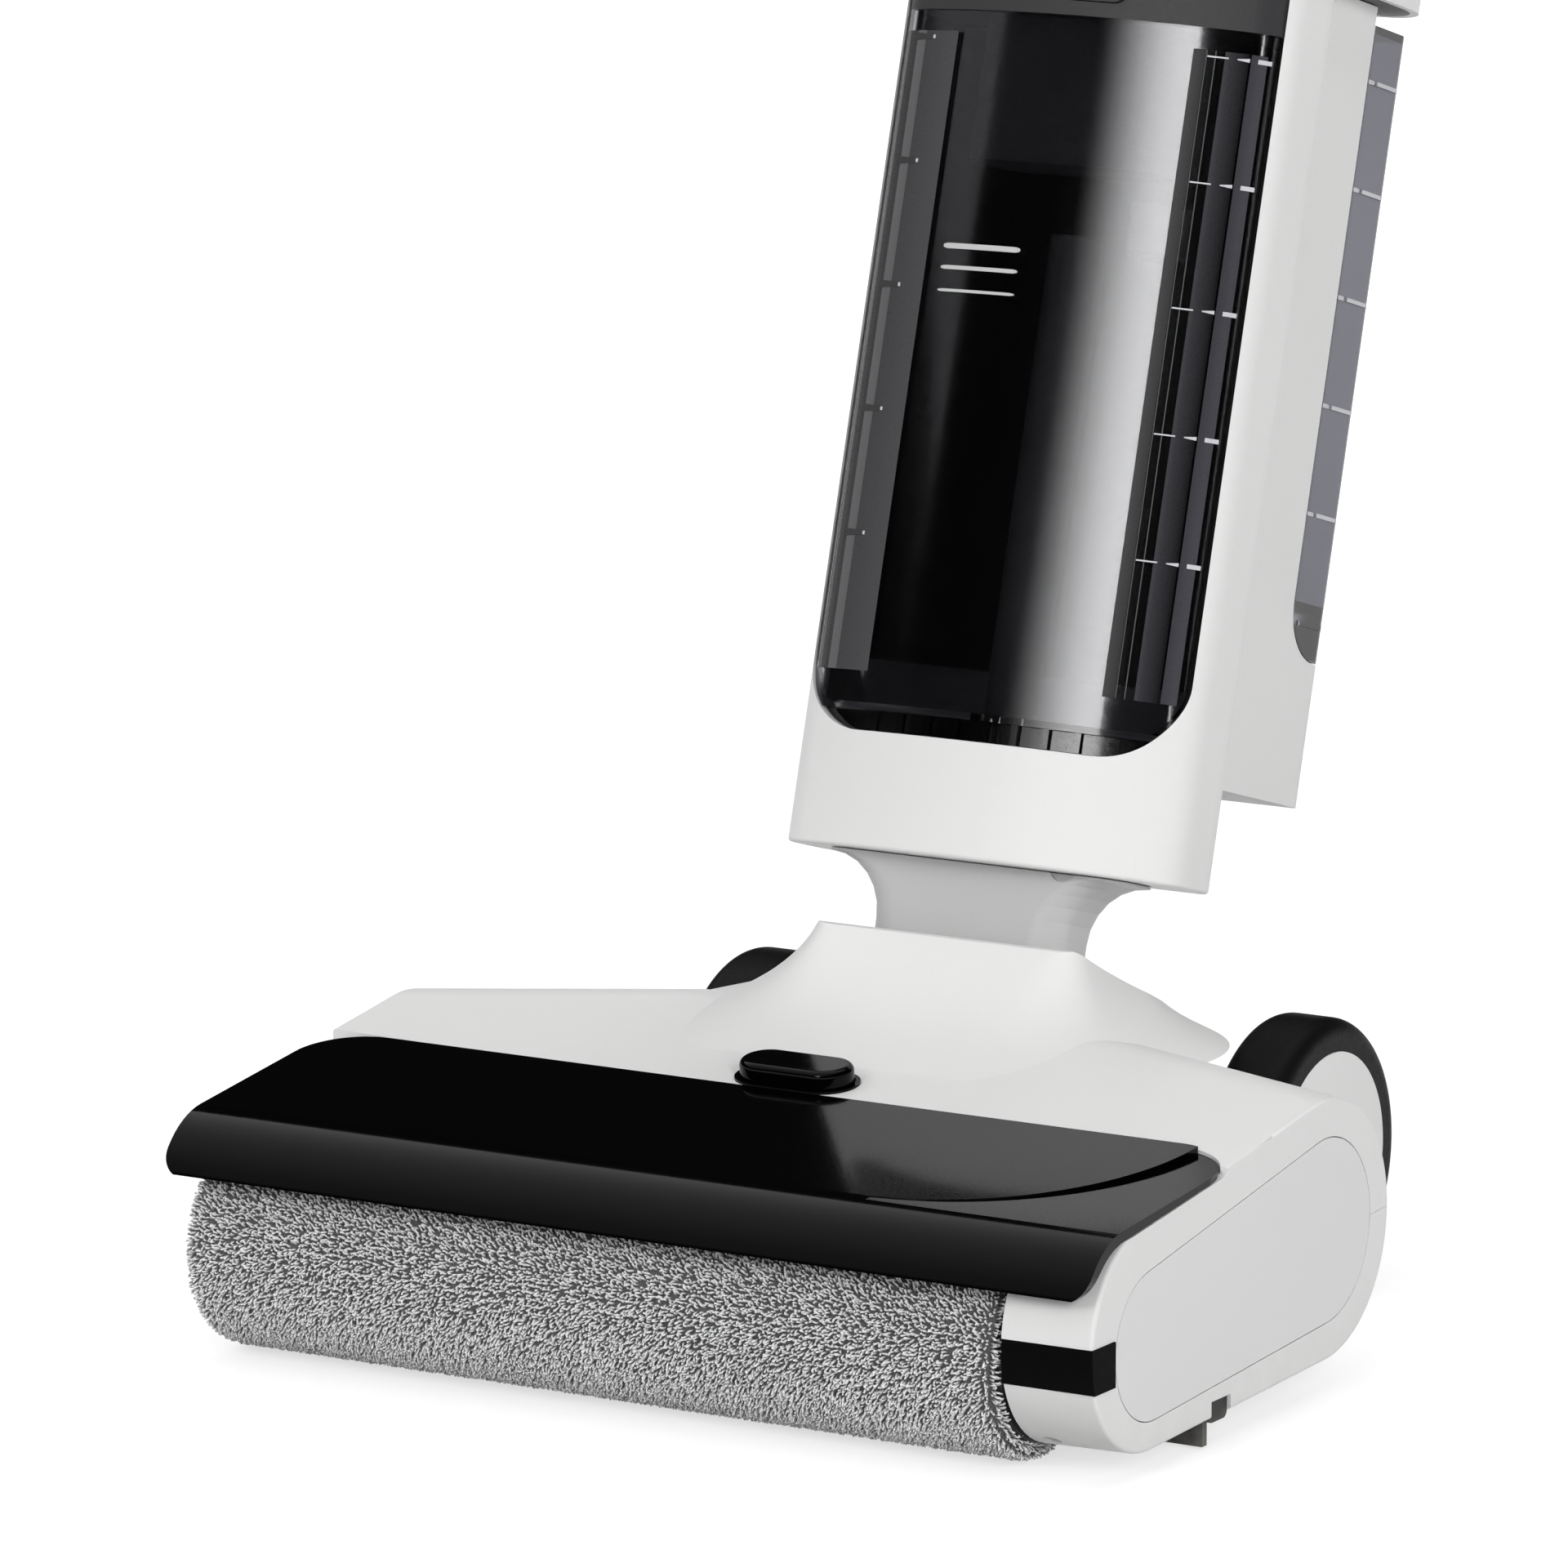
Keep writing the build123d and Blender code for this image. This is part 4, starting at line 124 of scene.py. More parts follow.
def new_material(name):
    """A material with its tree, its surface shader and the object's own coordinates."""
    made = bpy.data.materials.new(name)
    made.use_nodes = True
    tree = made.node_tree
    coordinates = tree.nodes.new("ShaderNodeTexCoord").outputs["Object"]
    return made, tree, tree.nodes["Principled BSDF"], coordinates


def add_skin(tree, coordinates, colour, shade, gloss, grain):
    """Lays the moulded skin on a material. Its colour is a value or a link."""
    return add(tree, "ShaderNodeGroup", {"Vector": coordinates, "Colour": colour, "Shade": shade,
                                         "Roughness": gloss, "Grain": grain}, node_tree=moulded_skin)


def dress(tree, surface, colour, roughness, height, strength, depth):
    """Gives a surface its colour, its roughness and a bump from a height."""
    bump = add(tree, "ShaderNodeBump", {"Height": height, "Strength": strength, "Distance": depth})
    tree.links.new(colour, surface.inputs["Base Color"])
    tree.links.new(roughness, surface.inputs["Roughness"])
    tree.links.new(bump.outputs["Normal"], surface.inputs["Normal"])


def moulded(name, colour, gloss, grain, depth, shade=0.04, dust=0.0, dust_height=0.06, mirror=0.5):
    """A moulded plastic or rubber: grain as bump, slow clouds of tone, and dust near the floor if any."""
    made, tree, surface, coordinates = new_material(name)
    skin = add_skin(tree, coordinates, colour, shade, gloss, grain)
    tone = skin.outputs["Colour"]
    if dust:
        settled = add(tree, "ShaderNodeGroup", {"Vector": coordinates, "Height": dust_height, "Amount": dust},
                      node_tree=floor_dust)
        mixed = add(tree, "ShaderNodeMix", {0: settled.outputs["Mask"], 6: tone, 7: DUST_GREY},
                    data_type="RGBA")
        tone = mixed.outputs[2]
    dress(tree, surface, tone, skin.outputs["Roughness"], skin.outputs["Height"],
          strength=0.35, depth=depth)
    surface.inputs["Specular IOR Level"].default_value = mirror
    return made


def finish_nodes(material, *names):
    """Puts a material on CAD nodes."""
    for name in names:
        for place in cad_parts[name].material_slots:
            place.material = material


shell_white = moulded("shell_white", SHELL_WHITE, SHELL_GLOSS, SHELL_GRAIN, SHELL_DEPTH, shade=SHELL_SHADE)
shell_low = moulded("shell_low", SHELL_WHITE, SHELL_GLOSS, SHELL_GRAIN, SHELL_DEPTH, shade=SHELL_SHADE,
                    dust=0.16, dust_height=0.03)
finish_nodes(shell_white, "head_upper_shell")
finish_nodes(shell_low, "head_lower_shell", "left_end_arm")

# Side panel over the belt drive: a loose white moulding clipped into the end housing, a touch
# greyer and finer in its grain. The bumper is a strip of soft black rubber let into the end cap.
PANEL_GREY = (0.77, 0.77, 0.77, 1.0)
BUMPER_BLACK = (0.0022, 0.0022, 0.0022, 1.0)
finish_nodes(moulded("panel_grey", PANEL_GREY, gloss=0.5, grain=2600.0, depth=0.00004, shade=0.015),
             "end_panel")
soft_black = moulded("soft_black", BUMPER_BLACK, gloss=0.55, grain=1800.0, depth=0.00008, shade=0.2,
                     mirror=0.03)
finish_nodes(soft_black, "bumper_strip")

# Roller: a sleeve of knitted microfibre with short, dense, leaning pile over a plastic tube.
# The yarn is white and grey mixed; its roots and the knitted backing carry painted shade, dark where the
# tufts crowd.
# The tube's ends are closed by a plug on the idle side and a driven pulley on the other.
AXIS_Y = -0.218639
AXIS_Z = 0.030
ROLLER_LEFT = -0.1355
ROLLER_RIGHT = 0.112
PILE_TIP_R = 0.0298
BACKING_R = 0.0275
CORE_R = 0.0245
IDLE_LIP = 0.006
RING_STEPS = 96
BED_WALL = 1e-5
BED_END = ((0.0023, -0.0068), (0.0023, -0.0022), (0.0031, -0.0007), (0.0048, 0.0))
DRIVE_END = ((-0.0038, 0.0), (-0.0026, -0.0006), (-0.0020, -0.0018), (-0.0020, -0.0028))
BED_BANDS = 7
TUFT_LENGTH = 0.0022
TUFT_WIDTH = 0.00033
TUFT_GAP = 0.00068
TUFT_LEAN = 0.0006
TUFT_TILT = 0.22
TUFT_TIP = 0.85
TUFT_SHORTEST = 0.75
TUFT_SEED = 11
TUFTS_AT_MOST = 4.0e6
YARN_LIGHT = (0.98, 0.98, 0.98, 1.0)
YARN_GREY = (0.95, 0.95, 0.95, 1.0)
# Painted shade at the roots of the pile and on its backing.
PILE_ROOT_SHADE = (0.09, 0.09, 0.09, 1.0)
INNER_DARK = (0.03, 0.03, 0.032, 1.0)


def new_object(name, data):
    """Puts a mesh, a lamp or a camera in the scene."""
    made = bpy.data.objects.new(name, data)
    bpy.context.scene.collection.objects.link(made)
    return made


def to_object(name, shape):
    """Turns a finished mesh into an object of the scene, its faces pointing outwards."""
    bmesh.ops.recalc_face_normals(shape, faces=shape.faces)
    mesh = bpy.data.meshes.new(name)
    shape.to_mesh(mesh)
    shape.free()
    return new_object(name, mesh)


def revolve(name, profile):
    """A closed ring about the roller's axis; profile holds (x, radius) pairs round its wall."""
    shape = bmesh.new()
    rings = []
    for k in range(RING_STEPS):
        turn = 2 * pi * k / RING_STEPS
        rings.append([shape.verts.new((x, AXIS_Y + r * cos(turn), AXIS_Z + r * sin(turn)))
                      for x, r in profile])
    for k in range(RING_STEPS):
        here, there = rings[k], rings[(k + 1) % RING_STEPS]
        for i in range(len(profile)):
            j = (i + 1) % len(profile)
            shape.faces.new((here[i], here[j], there[j], there[i]))
    return to_object(name, shape)


def smooth(piece):
    """Smooth shading all over."""
    piece.data.polygons.foreach_set("use_smooth", [True] * len(piece.data.polygons))
    return piece


def make_yarn():
    """Yarn colour by strand, and painted shade by the height above the backing, so that roots are dark and
    tips pale.
    """
    made, tree, surface, coordinates = new_material("pile_yarn")
    centred = add(tree, "ShaderNodeMapping", {"Vector": coordinates, "Location": (0.0, -AXIS_Y, -AXIS_Z),
                                              "Scale": (0.0, 1.0, 1.0)})
    reach = add(tree, "ShaderNodeVectorMath", {0: centred.outputs["Vector"]}, operation="LENGTH")
    rise = add(tree, "ShaderNodeMapRange", {"Value": reach.outputs["Value"], "From Min": BACKING_R,
                                            "From Max": 0.5 * (BACKING_R + PILE_TIP_R)})
    bed_left, bed_right = ROLLER_LEFT + BED_END[0][0], ROLLER_RIGHT + DRIVE_END[-1][0]
    bed_middle, bed_half = (bed_left + bed_right) / 2, (bed_right - bed_left) / 2
    along = add(tree, "ShaderNodeSeparateXYZ", {0: coordinates})
    aside = add(tree, "ShaderNodeMath", {0: along.outputs["X"], 1: bed_middle}, operation="SUBTRACT")
    outward = add(tree, "ShaderNodeMath", {0: aside.outputs[0]}, operation="ABSOLUTE")
    past = add(tree, "ShaderNodeMapRange", {"Value": outward.outputs[0], "From Min": bed_half,
                                            "From Max": bed_half + TUFT_LENGTH / 2})
    height = add(tree, "ShaderNodeMath", {0: rise.outputs["Result"], 1: past.outputs["Result"]},
                 operation="MAXIMUM")
    strand = add(tree, "ShaderNodeTexNoise", {"Vector": coordinates, "Scale": 900.0, "Detail": 1.0})
    blend = add(tree, "ShaderNodeMapRange", {"Value": strand.outputs["Fac"], "From Min": 0.36,
                                             "From Max": 0.6})
    yarn = add(tree, "ShaderNodeMix", {0: blend.outputs["Result"], 6: YARN_GREY, 7: YARN_LIGHT},
               data_type="RGBA")
    # Painted shade: near the backing the yarn colour falls to the dark root tone.
    depth = add(tree, "ShaderNodeMix", {0: height.outputs[0], 6: PILE_ROOT_SHADE, 7: yarn.outputs[2]},
                data_type="RGBA")
    tree.links.new(depth.outputs[2], surface.inputs["Base Color"])
    surface.inputs["Roughness"].default_value = 0.85
    surface.inputs["Sheen Weight"].default_value = 0.8
    return made


def make_pile_tree():
    """Tufts of yarn on a surface: evenly scattered, bent over, turned any way, tapered to the tip."""
    tree, given, result = new_group(
        "pile_tufts", "GeometryNodeTree",
        (("Geometry", "NodeSocketGeometry"), ("Gap", "NodeSocketFloat"), ("Length", "NodeSocketFloat"),
         ("Lean", "NodeSocketFloat"), ("Width", "NodeSocketFloat"), ("Seed", "NodeSocketInt"),
         ("Material", "NodeSocketMaterial")),
        (("Geometry", "NodeSocketGeometry"),))
    spots = add(tree, "GeometryNodeDistributePointsOnFaces",
                {"Mesh": given.outputs["Geometry"], "Distance Min": given.outputs["Gap"],
                 "Density Max": TUFTS_AT_MOST, "Seed": given.outputs["Seed"]}, distribute_method="POISSON")
    middle = add(tree, "ShaderNodeCombineXYZ", {"Z": given.outputs["Length"]})
    tip = add(tree, "ShaderNodeCombineXYZ", {"X": given.outputs["Lean"], "Z": given.outputs["Length"]})
    bow = add(tree, "GeometryNodeCurveQuadraticBezier",
              {"Resolution": 2, "Start": (0.0, 0.0, 0.0), "Middle": middle.outputs["Vector"],
               "End": tip.outputs["Vector"]})
    along = tree.nodes.new("GeometryNodeSplineParameter")
    taper = add(tree, "ShaderNodeMapRange", {"Value": along.outputs["Factor"], "To Min": 1.0,
                                             "To Max": TUFT_TIP})
    slim = add(tree, "GeometryNodeSetCurveRadius", {"Curve": bow.outputs["Curve"],
                                                   "Radius": taper.outputs["Result"]})
    section = add(tree, "GeometryNodeCurvePrimitiveCircle", {"Resolution": 3,
                                                            "Radius": given.outputs["Width"]})
    tuft = add(tree, "GeometryNodeCurveToMesh", {"Curve": slim.outputs["Curve"],
                                                "Profile Curve": section.outputs["Curve"], "Fill Caps": True})
    spin = add(tree, "FunctionNodeRandomValue",
               {0: (-TUFT_TILT, -TUFT_TILT, 0.0), 1: (TUFT_TILT, TUFT_TILT, 2 * pi),
                "Seed": given.outputs["Seed"]}, data_type="FLOAT_VECTOR")
    turn = add(tree, "FunctionNodeEulerToRotation", {0: spin.outputs[0]})
    stand = add(tree, "FunctionNodeRotateRotation", {0: spots.outputs["Rotation"], 1: turn.outputs[0]},
                rotation_space="LOCAL")
    size = add(tree, "FunctionNodeRandomValue", {2: TUFT_SHORTEST, 3: 1.0, "Seed": given.outputs["Seed"]},
               data_type="FLOAT")
    planted = add(tree, "GeometryNodeInstanceOnPoints",
                  {"Points": spots.outputs["Points"], "Instance": tuft.outputs["Mesh"],
                   "Rotation": stand.outputs[0], "Scale": size.outputs[1]})
    whole = add(tree, "GeometryNodeRealizeInstances", {"Geometry": planted.outputs["Instances"]})
    dressed = add(tree, "GeometryNodeSetMaterial", {"Geometry": whole.outputs["Geometry"],
                                                   "Material": given.outputs["Material"]})
    tree.links.new(dressed.outputs["Geometry"], result.inputs["Geometry"])
    return tree


def grow(name, base, tree, values):
    """Runs a Geometry Nodes tree on a base object and keeps the result as a plain mesh of that name."""
    modifier = base.modifiers.new("grow", "NODES")
    modifier.node_group = tree
    for socket in tree.interface.items_tree:
        if socket.in_out == "INPUT" and socket.name in values:
            modifier[socket.identifier] = values[socket.name]
    graph = bpy.context.evaluated_depsgraph_get()
    mesh = bpy.data.meshes.new_from_object(base.evaluated_get(graph))
    mesh.name = name
    made = new_object(name, mesh)
    base.modifiers.remove(modifier)
    return made


pile_yarn = make_yarn()
pile_tree = make_pile_tree()
bed_end = [(ROLLER_LEFT + x, BACKING_R + r) for x, r in BED_END]
drive_end = [(ROLLER_RIGHT + x, BACKING_R + r) for x, r in DRIVE_END]
backing_profile = [(bed_end[0][0], CORE_R - IDLE_LIP), *bed_end, *drive_end, (drive_end[-1][0], CORE_R),
                   (bed_end[-1][0], CORE_R), (bed_end[-1][0], CORE_R - IDLE_LIP)]
backing = smooth(revolve("pile_backing", backing_profile))
backing.data.materials.append(pile_yarn)
band = (drive_end[0][0] - bed_end[-1][0]) / BED_BANDS
gap = TUFT_GAP * 1.0
for k in range(BED_BANDS):
    left = bed_end[-1][0] + k * band
    outer = [(left, BACKING_R), (left + band, BACKING_R)]
    if k == 0:
        outer = bed_end[:-1] + outer
    if k == BED_BANDS - 1:
        outer = outer[:-1] + drive_end
    sleeve = revolve("pile_bed", outer + [(x, r - BED_WALL) for x, r in reversed(outer)])
    tufts = grow(f"pile_tufts_{k + 1}", sleeve, pile_tree,
                 {"Gap": gap, "Length": TUFT_LENGTH, "Lean": TUFT_LEAN, "Width": TUFT_WIDTH,
                  "Seed": TUFT_SEED + k, "Material": pile_yarn})
    bpy.data.objects.remove(sleeve)
    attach(tufts, "roller")
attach(backing, "roller")
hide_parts("roller_sleeve")
inner_dark = moulded("inner_dark", INNER_DARK, gloss=0.5, grain=1200.0, depth=0.00008, shade=0.2)
finish_nodes(inner_dark, "roller_core", "roller_idle_plug", "roller_pulley")

# Belt drive in the right end housing: a canned motor, a toothless rubber belt and two pulleys.
# The can is zinc-plated steel, drawn, with faint rolling marks along it.
CAN_STEEL = (0.55, 0.55, 0.56, 1.0)
BELT_BLACK = (0.012, 0.012, 0.012, 1.0)


def metal(name, colour, gloss, stretch, streak=0.12):
    """A drawn, turned or rolled metal, with streaks stretched by the given scale in X, Y and Z."""
    made, tree, surface, coordinates = new_material(name)
    along = add(tree, "ShaderNodeMapping", {"Vector": coordinates, "Scale": stretch})
    marks = add(tree, "ShaderNodeTexNoise", {"Vector": along.outputs["Vector"], "Scale": 1.0, "Detail": 4.0})
    rough = add(tree, "ShaderNodeMapRange", {"Value": marks.outputs["Fac"], "From Min": 0.3, "From Max": 0.7,
                                             "To Min": gloss - streak, "To Max": gloss + streak})
    skin = add_skin(tree, coordinates, colour, shade=0.15, gloss=gloss, grain=900.0)
    dress(tree, surface, skin.outputs["Colour"], rough.outputs["Result"], marks.outputs["Fac"],
          strength=0.2, depth=0.00004)
    surface.inputs["Metallic"].default_value = 1.0
    return made


finish_nodes(metal("can_steel", CAN_STEEL, gloss=0.35, stretch=(40.0, 900.0, 900.0)), "drive_motor")
finish_nodes(moulded("belt_rubber", BELT_BLACK, gloss=0.7, grain=700.0, depth=0.0002, shade=0.3),
             "drive_belt")
finish_nodes(inner_dark, "motor_pulley")

# Wet pieces under the cover and the head: a scraper, a spray bar, a suction duct, a rubber squeegee
# that touches the floor and a small hard skid at the right end.
finish_nodes(inner_dark, "scraper_bar", "spray_bar", "suction_duct")
wiper_black = moulded("wiper_black", BELT_BLACK, gloss=0.6, grain=900.0, depth=0.0001, shade=0.25, dust=0.35,
                      dust_height=0.012)
finish_nodes(wiper_black, "squeegee", "floor_skid")

# Wheels: a moulded hub disc, slightly domed and pressed in, inside a tyre of satin black rubber,
# both on a steel axle through the rear beam.
TYRE_BLACK = (0.005, 0.005, 0.005, 1.0)
AXLE_STEEL = (0.62, 0.62, 0.63, 1.0)
steel_bright = metal("steel_bright", AXLE_STEEL, gloss=0.28, stretch=(30.0, 1200.0, 1200.0))
finish_nodes(steel_bright, "wheel_axle")
tyre_rubber = moulded("tyre_rubber", TYRE_BLACK, gloss=0.5, grain=1100.0, depth=0.0001, shade=0.25,
                      dust=0.08, dust_height=0.02, mirror=0.12)
finish_nodes(tyre_rubber, "tyre_left", "tyre_right")
finish_nodes(moulded("hub_white", SHELL_WHITE, gloss=0.4, grain=2000.0, depth=0.00003, shade=SHELL_SHADE),
             "hub_left", "hub_right")

# Roller cover and its release: gloss black mouldings with a polished tool face, so only a faint
# ripple and a fine grain break the mirror. The cover lifts off upwards when the button is pressed.
GLOSS_BLACK = (0.0010, 0.0010, 0.0011, 1.0)
GLOSS_MIRROR = 0.15


def make_gloss(name, colour, gloss, ripple):
    """Polished plastic: a mirror with a faint ripple of the tool and a fine grain in its gloss."""
    made, tree, surface, coordinates = new_material(name)
    wave = add(tree, "ShaderNodeTexNoise", {"Vector": coordinates, "Scale": 35.0, "Detail": 1.0})
    skin = add_skin(tree, coordinates, colour, shade=0.3, gloss=gloss, grain=2400.0)
    dress(tree, surface, skin.outputs["Colour"], skin.outputs["Roughness"], wave.outputs["Fac"],
          strength=0.1, depth=ripple)
    surface.inputs["Specular IOR Level"].default_value = GLOSS_MIRROR
    return made


gloss_black = make_gloss("gloss_black", GLOSS_BLACK, gloss=0.09, ripple=0.0003)
finish_nodes(gloss_black, "roller_cover", "release_button", "button_bezel")
finish_nodes(steel_bright, "release_spring")

# Neck: one pale grey moulding that flares up to its brim, turning on two steel pins in the collar,
# with a swivel stem above it.
NECK_GREY = (0.54, 0.54, 0.54, 1.0)
neck_grey = moulded("neck_grey", NECK_GREY, gloss=0.45, grain=SHELL_GRAIN, depth=SHELL_DEPTH,
                    shade=SHELL_SHADE)
finish_nodes(neck_grey, "neck", "swivel_stem")
finish_nodes(steel_bright, "neck_pins")

# Upright: a white frame with a skirt and two columns round the tank bay, a dark glossy liner in
# the bay, and a rear housing that is grained more coarsely than the rest.
LINER_BLACK = (0.004, 0.004, 0.005, 1.0)
finish_nodes(shell_white, "body_frame")
liner_dark = moulded("liner_dark", LINER_BLACK, gloss=0.3, grain=1500.0, depth=0.00004, shade=0.3,
                     mirror=0.06)
finish_nodes(liner_dark, "bay_liner")
finish_nodes(moulded("housing_grain", SHELL_WHITE, gloss=0.55, grain=1250.0, depth=0.00016, shade=0.03),
             "rear_housing")

# Dirty water tank: a thin smoke-tinted copolyester shell on a ribbed dark foot, with a dark lid,
# a stand pipe, a foam filter and a float. Its ribbed corners carry painted highlights and painted
# shade, and panels behind them carry painted light and shade of the inside seen through them.
# Three white bars printed on its front show the level.
SMOKE = (0.46, 0.46, 0.49, 1.0)
SMOKE_RIM = (0.02, 0.02, 0.025, 1.0)
FOOT_SMOKE = (0.03, 0.03, 0.034, 1.0)
FOAM_GREY = (0.05, 0.05, 0.055, 1.0)
FLOAT_GREY = (0.16, 0.16, 0.165, 1.0)
PRINT_WHITE = (0.58, 0.58, 0.58, 1.0)
# Painted highlight on the rib edges, where they catch the light.
RIB_HIGHLIGHT = (0.60, 0.60, 0.63, 1.0)
# Painted highlights along the tank's corner edges.
CORNER_GLINT_GREY = (0.10, 0.10, 0.105, 1.0)
PIVOT_Y = -0.063639
PIVOT_Z = 0.074
LEAN = radians(16.0)
BAR_LEFT = -0.0305
BAR_RIGHT = -0.0050
BARS = ((0.2070, 0.0015), (0.2011, 0.0011), (0.1948, 0.0008))
BAR_STEPS = 20
BAR_PROUD = 0.00012
STRIP_SUNK = 0.00003
BEFORE_FRONT = -0.08
CORNER_RIB_LOW = 0.1271
CORNER_RIB_STEP = 0.0343
CORNER_RIBS = 5
DASH_STEPS = 4
# Pale dashes of the corner ribs are painted highlights; the dark strips beside them are painted shade.
CORNER_RIB_GLINTS = ((0.0407, 0.0463, 0.0004, 0.0004), (0.0486, 0.0518, 0.0003, 0.0010),
                 (0.0538, 0.0567, 0.0012, 0.0012), (-0.0452, -0.0445, 0.0010, 0.0010))
CORNER_RIB_SHADOWS = ((-0.0521, -0.0453, 0.0022, 0.0012),)
CORNER_EDGE_GLINTS = ((0.0404, 0.00022), (0.0428, 0.00026))
# Panels behind the tank's corners, each with a near and a far tone: painted light and shade of the inside
# seen through them.
CORNER_PAINTED_PANELS = (
    ("left_panel_painted_light", (-0.0560, -0.0362), (0.048, 0.047, 0.051, 1.0), (0.078, 0.077, 0.082, 1.0), 12, 1),
    ("left_strip_painted_light", (-0.0512, -0.0480), (0.138, 0.138, 0.140, 1.0), (0.120, 0.120, 0.122, 1.0), 3, 2),
    ("right_inner_painted_shade", (0.0368, 0.0401), (0.044, 0.044, 0.045, 1.0), (0.019, 0.019, 0.020, 1.0), 4, 1),
    ("right_panel_painted_shade", (0.0453, 0.0516), (0.040, 0.040, 0.046, 1.0), (0.003, 0.003, 0.004, 1.0), 12, 1),
    ("right_edge_painted_shade", (0.0521, 0.0558), (0.044, 0.044, 0.052, 1.0), (0.060, 0.060, 0.070, 1.0), 6, 1))
PANEL_GLOSS = 0.3
PANEL_MIRROR = 0.12
PANEL_PROUD = 0.00007
EDGE_LOW = 0.0885
EDGE_HIGH = 0.266
LEVEL_STEP = 0.0005
LEVEL_CLEAR = 0.001


def upright_point(x, y, z):
    """A point of the upright, given across, to its back and along its axis from the recline pivot."""
    return Vector((x, PIVOT_Y + y * cos(LEAN) + z * sin(LEAN), PIVOT_Z - y * sin(LEAN) + z * cos(LEAN)))


INWARD = upright_point(0, 1, 0) - upright_point(0, 0, 0)


def surface_of(name):
    """A CAD node's faces, ready to be met by rays."""
    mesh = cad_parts[name].data
    return BVHTree.FromPolygons([v.co for v in mesh.vertices], [p.vertices[:] for p in mesh.polygons])


def make_smoke(name, tint, gloss, rim=0.5):
    """Tinted clear plastic with a faint flow ripple, deeper in tint where the sight runs along the wall."""
    made, tree, surface, coordinates = new_material(name)
    flow = add(tree, "ShaderNodeTexNoise", {"Vector": coordinates, "Scale": 45.0, "Detail": 1.0})
    skin = add_skin(tree, coordinates, tint, shade=0.06, gloss=gloss, grain=1800.0)
    grazing = add(tree, "ShaderNodeLayerWeight", {"Blend": rim})
    deep = add(tree, "ShaderNodeMix", {0: grazing.outputs["Facing"], 6: skin.outputs["Colour"], 7: SMOKE_RIM},
               data_type="RGBA")
    dress(tree, surface, deep.outputs[2], skin.outputs["Roughness"], flow.outputs["Fac"],
          strength=0.02, depth=0.0004)
    surface.inputs["Transmission Weight"].default_value = 1.0
    surface.inputs["IOR"].default_value = 1.5
    return made


def along_axis(rise):
    """A move up the upright's own axis."""
    return upright_point(0, 0, rise) - upright_point(0, 0, 0)


def wrap_strip(shape, surface, starts, aim, halves, proud):
    """Adds a closed strip to a mesh. It follows a surface that rays from the given points meet."""
    rows = []
    for start, half in zip(starts, halves):
        ring = []
        for rise, out in ((-half, 0.0), (half, 0.0), (half, proud), (-half, proud)):
            spot, normal, _, _ = surface.ray_cast(start + along_axis(rise), aim)
            ring.append(shape.verts.new(spot + normal * (out - STRIP_SUNK)))
        rows.append(ring)
    for a, b in zip(rows, rows[1:]):
        for i in range(4):
            j = (i + 1) % 4
            shape.faces.new((a[i], a[j], b[j], b[i]))
    shape.faces.new(rows[0])
    shape.faces.new(rows[-1])


def spread(start, end, steps):
    """Evenly spaced numbers from a start to an end."""
    return [start + (end - start) * k / steps for k in range(steps + 1)]


def strip_across(shape, surface, outside, level, near, far, halves, proud):
    """Adds a strip that lies across the upright's front or back, on a surface met from outside it."""
    starts = [upright_point(x, outside, level) for x in spread(near, far, len(halves) - 1)]
    wrap_strip(shape, surface, starts, INWARD if outside < 0 else -INWARD, halves, proud)


def capped(height, steps):
    """Half heights along a strip whose two ends are rounded off."""
    return [height / 4] + [height / 2] * (steps - 1) + [height / 4]


def make_rows_tree():
    """Copies of one shape at even steps along a line."""
    tree, given, result = new_group(
        "even_rows", "GeometryNodeTree",
        (("Geometry", "NodeSocketGeometry"), ("Count", "NodeSocketInt"), ("Step", "NodeSocketVector"),
         ("Material", "NodeSocketMaterial")),
        (("Geometry", "NodeSocketGeometry"),))
    line = add(tree, "GeometryNodeMeshLine", {"Count": given.outputs["Count"],
                                              "Offset": given.outputs["Step"]})
    rows = add(tree, "GeometryNodeInstanceOnPoints", {"Points": line.outputs["Mesh"],
                                                      "Instance": given.outputs["Geometry"]})
    whole = add(tree, "GeometryNodeRealizeInstances", {"Geometry": rows.outputs["Instances"]})
    dressed = add(tree, "GeometryNodeSetMaterial", {"Geometry": whole.outputs["Geometry"],
                                                   "Material": given.outputs["Material"]})
    tree.links.new(dressed.outputs["Geometry"], result.inputs["Geometry"])
    return tree


rows_tree = make_rows_tree()


def repeat_up(name, shape, count, step, material, body):
    """Repeats a shape up the upright and fixes the result to a body."""
    base = to_object(name + "_one", shape)
    rows = grow(name, base, rows_tree, {"Count": count, "Step": along_axis(step), "Material": material})
    bpy.data.objects.remove(base)
    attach(rows, body)


def make_bars():
    """Printed bars that follow the tank's bowed front."""
    front = surface_of("dirty_tank")
    shape = bmesh.new()
    for level, height in BARS:
        strip_across(shape, front, BEFORE_FRONT, level, BAR_LEFT, BAR_RIGHT, capped(height, BAR_STEPS),
                     BAR_PROUD)
    return to_object("level_bars", shape)


def make_corner_rib(dashes):
    """One stiffening rib of the tank's front corners, as the dashes of it that catch or lose the light."""
    front = surface_of("dirty_tank")
    shape = bmesh.new()
    for near, far, thin, thick in dashes:
        halves = spread(thin / 2, thick / 2, DASH_STEPS)
        strip_across(shape, front, BEFORE_FRONT, CORNER_RIB_LOW, near, far, halves, 2 * BAR_PROUD)
    return shape


def lowest_level(surface, x):
    """How far down the tank's front reaches at a place across it, above its rounded lower corners."""
    level = EDGE_LOW
    while surface.ray_cast(upright_point(x, BEFORE_FRONT, level), INWARD)[0] is None:
        level += LEVEL_STEP
    return level + LEVEL_CLEAR


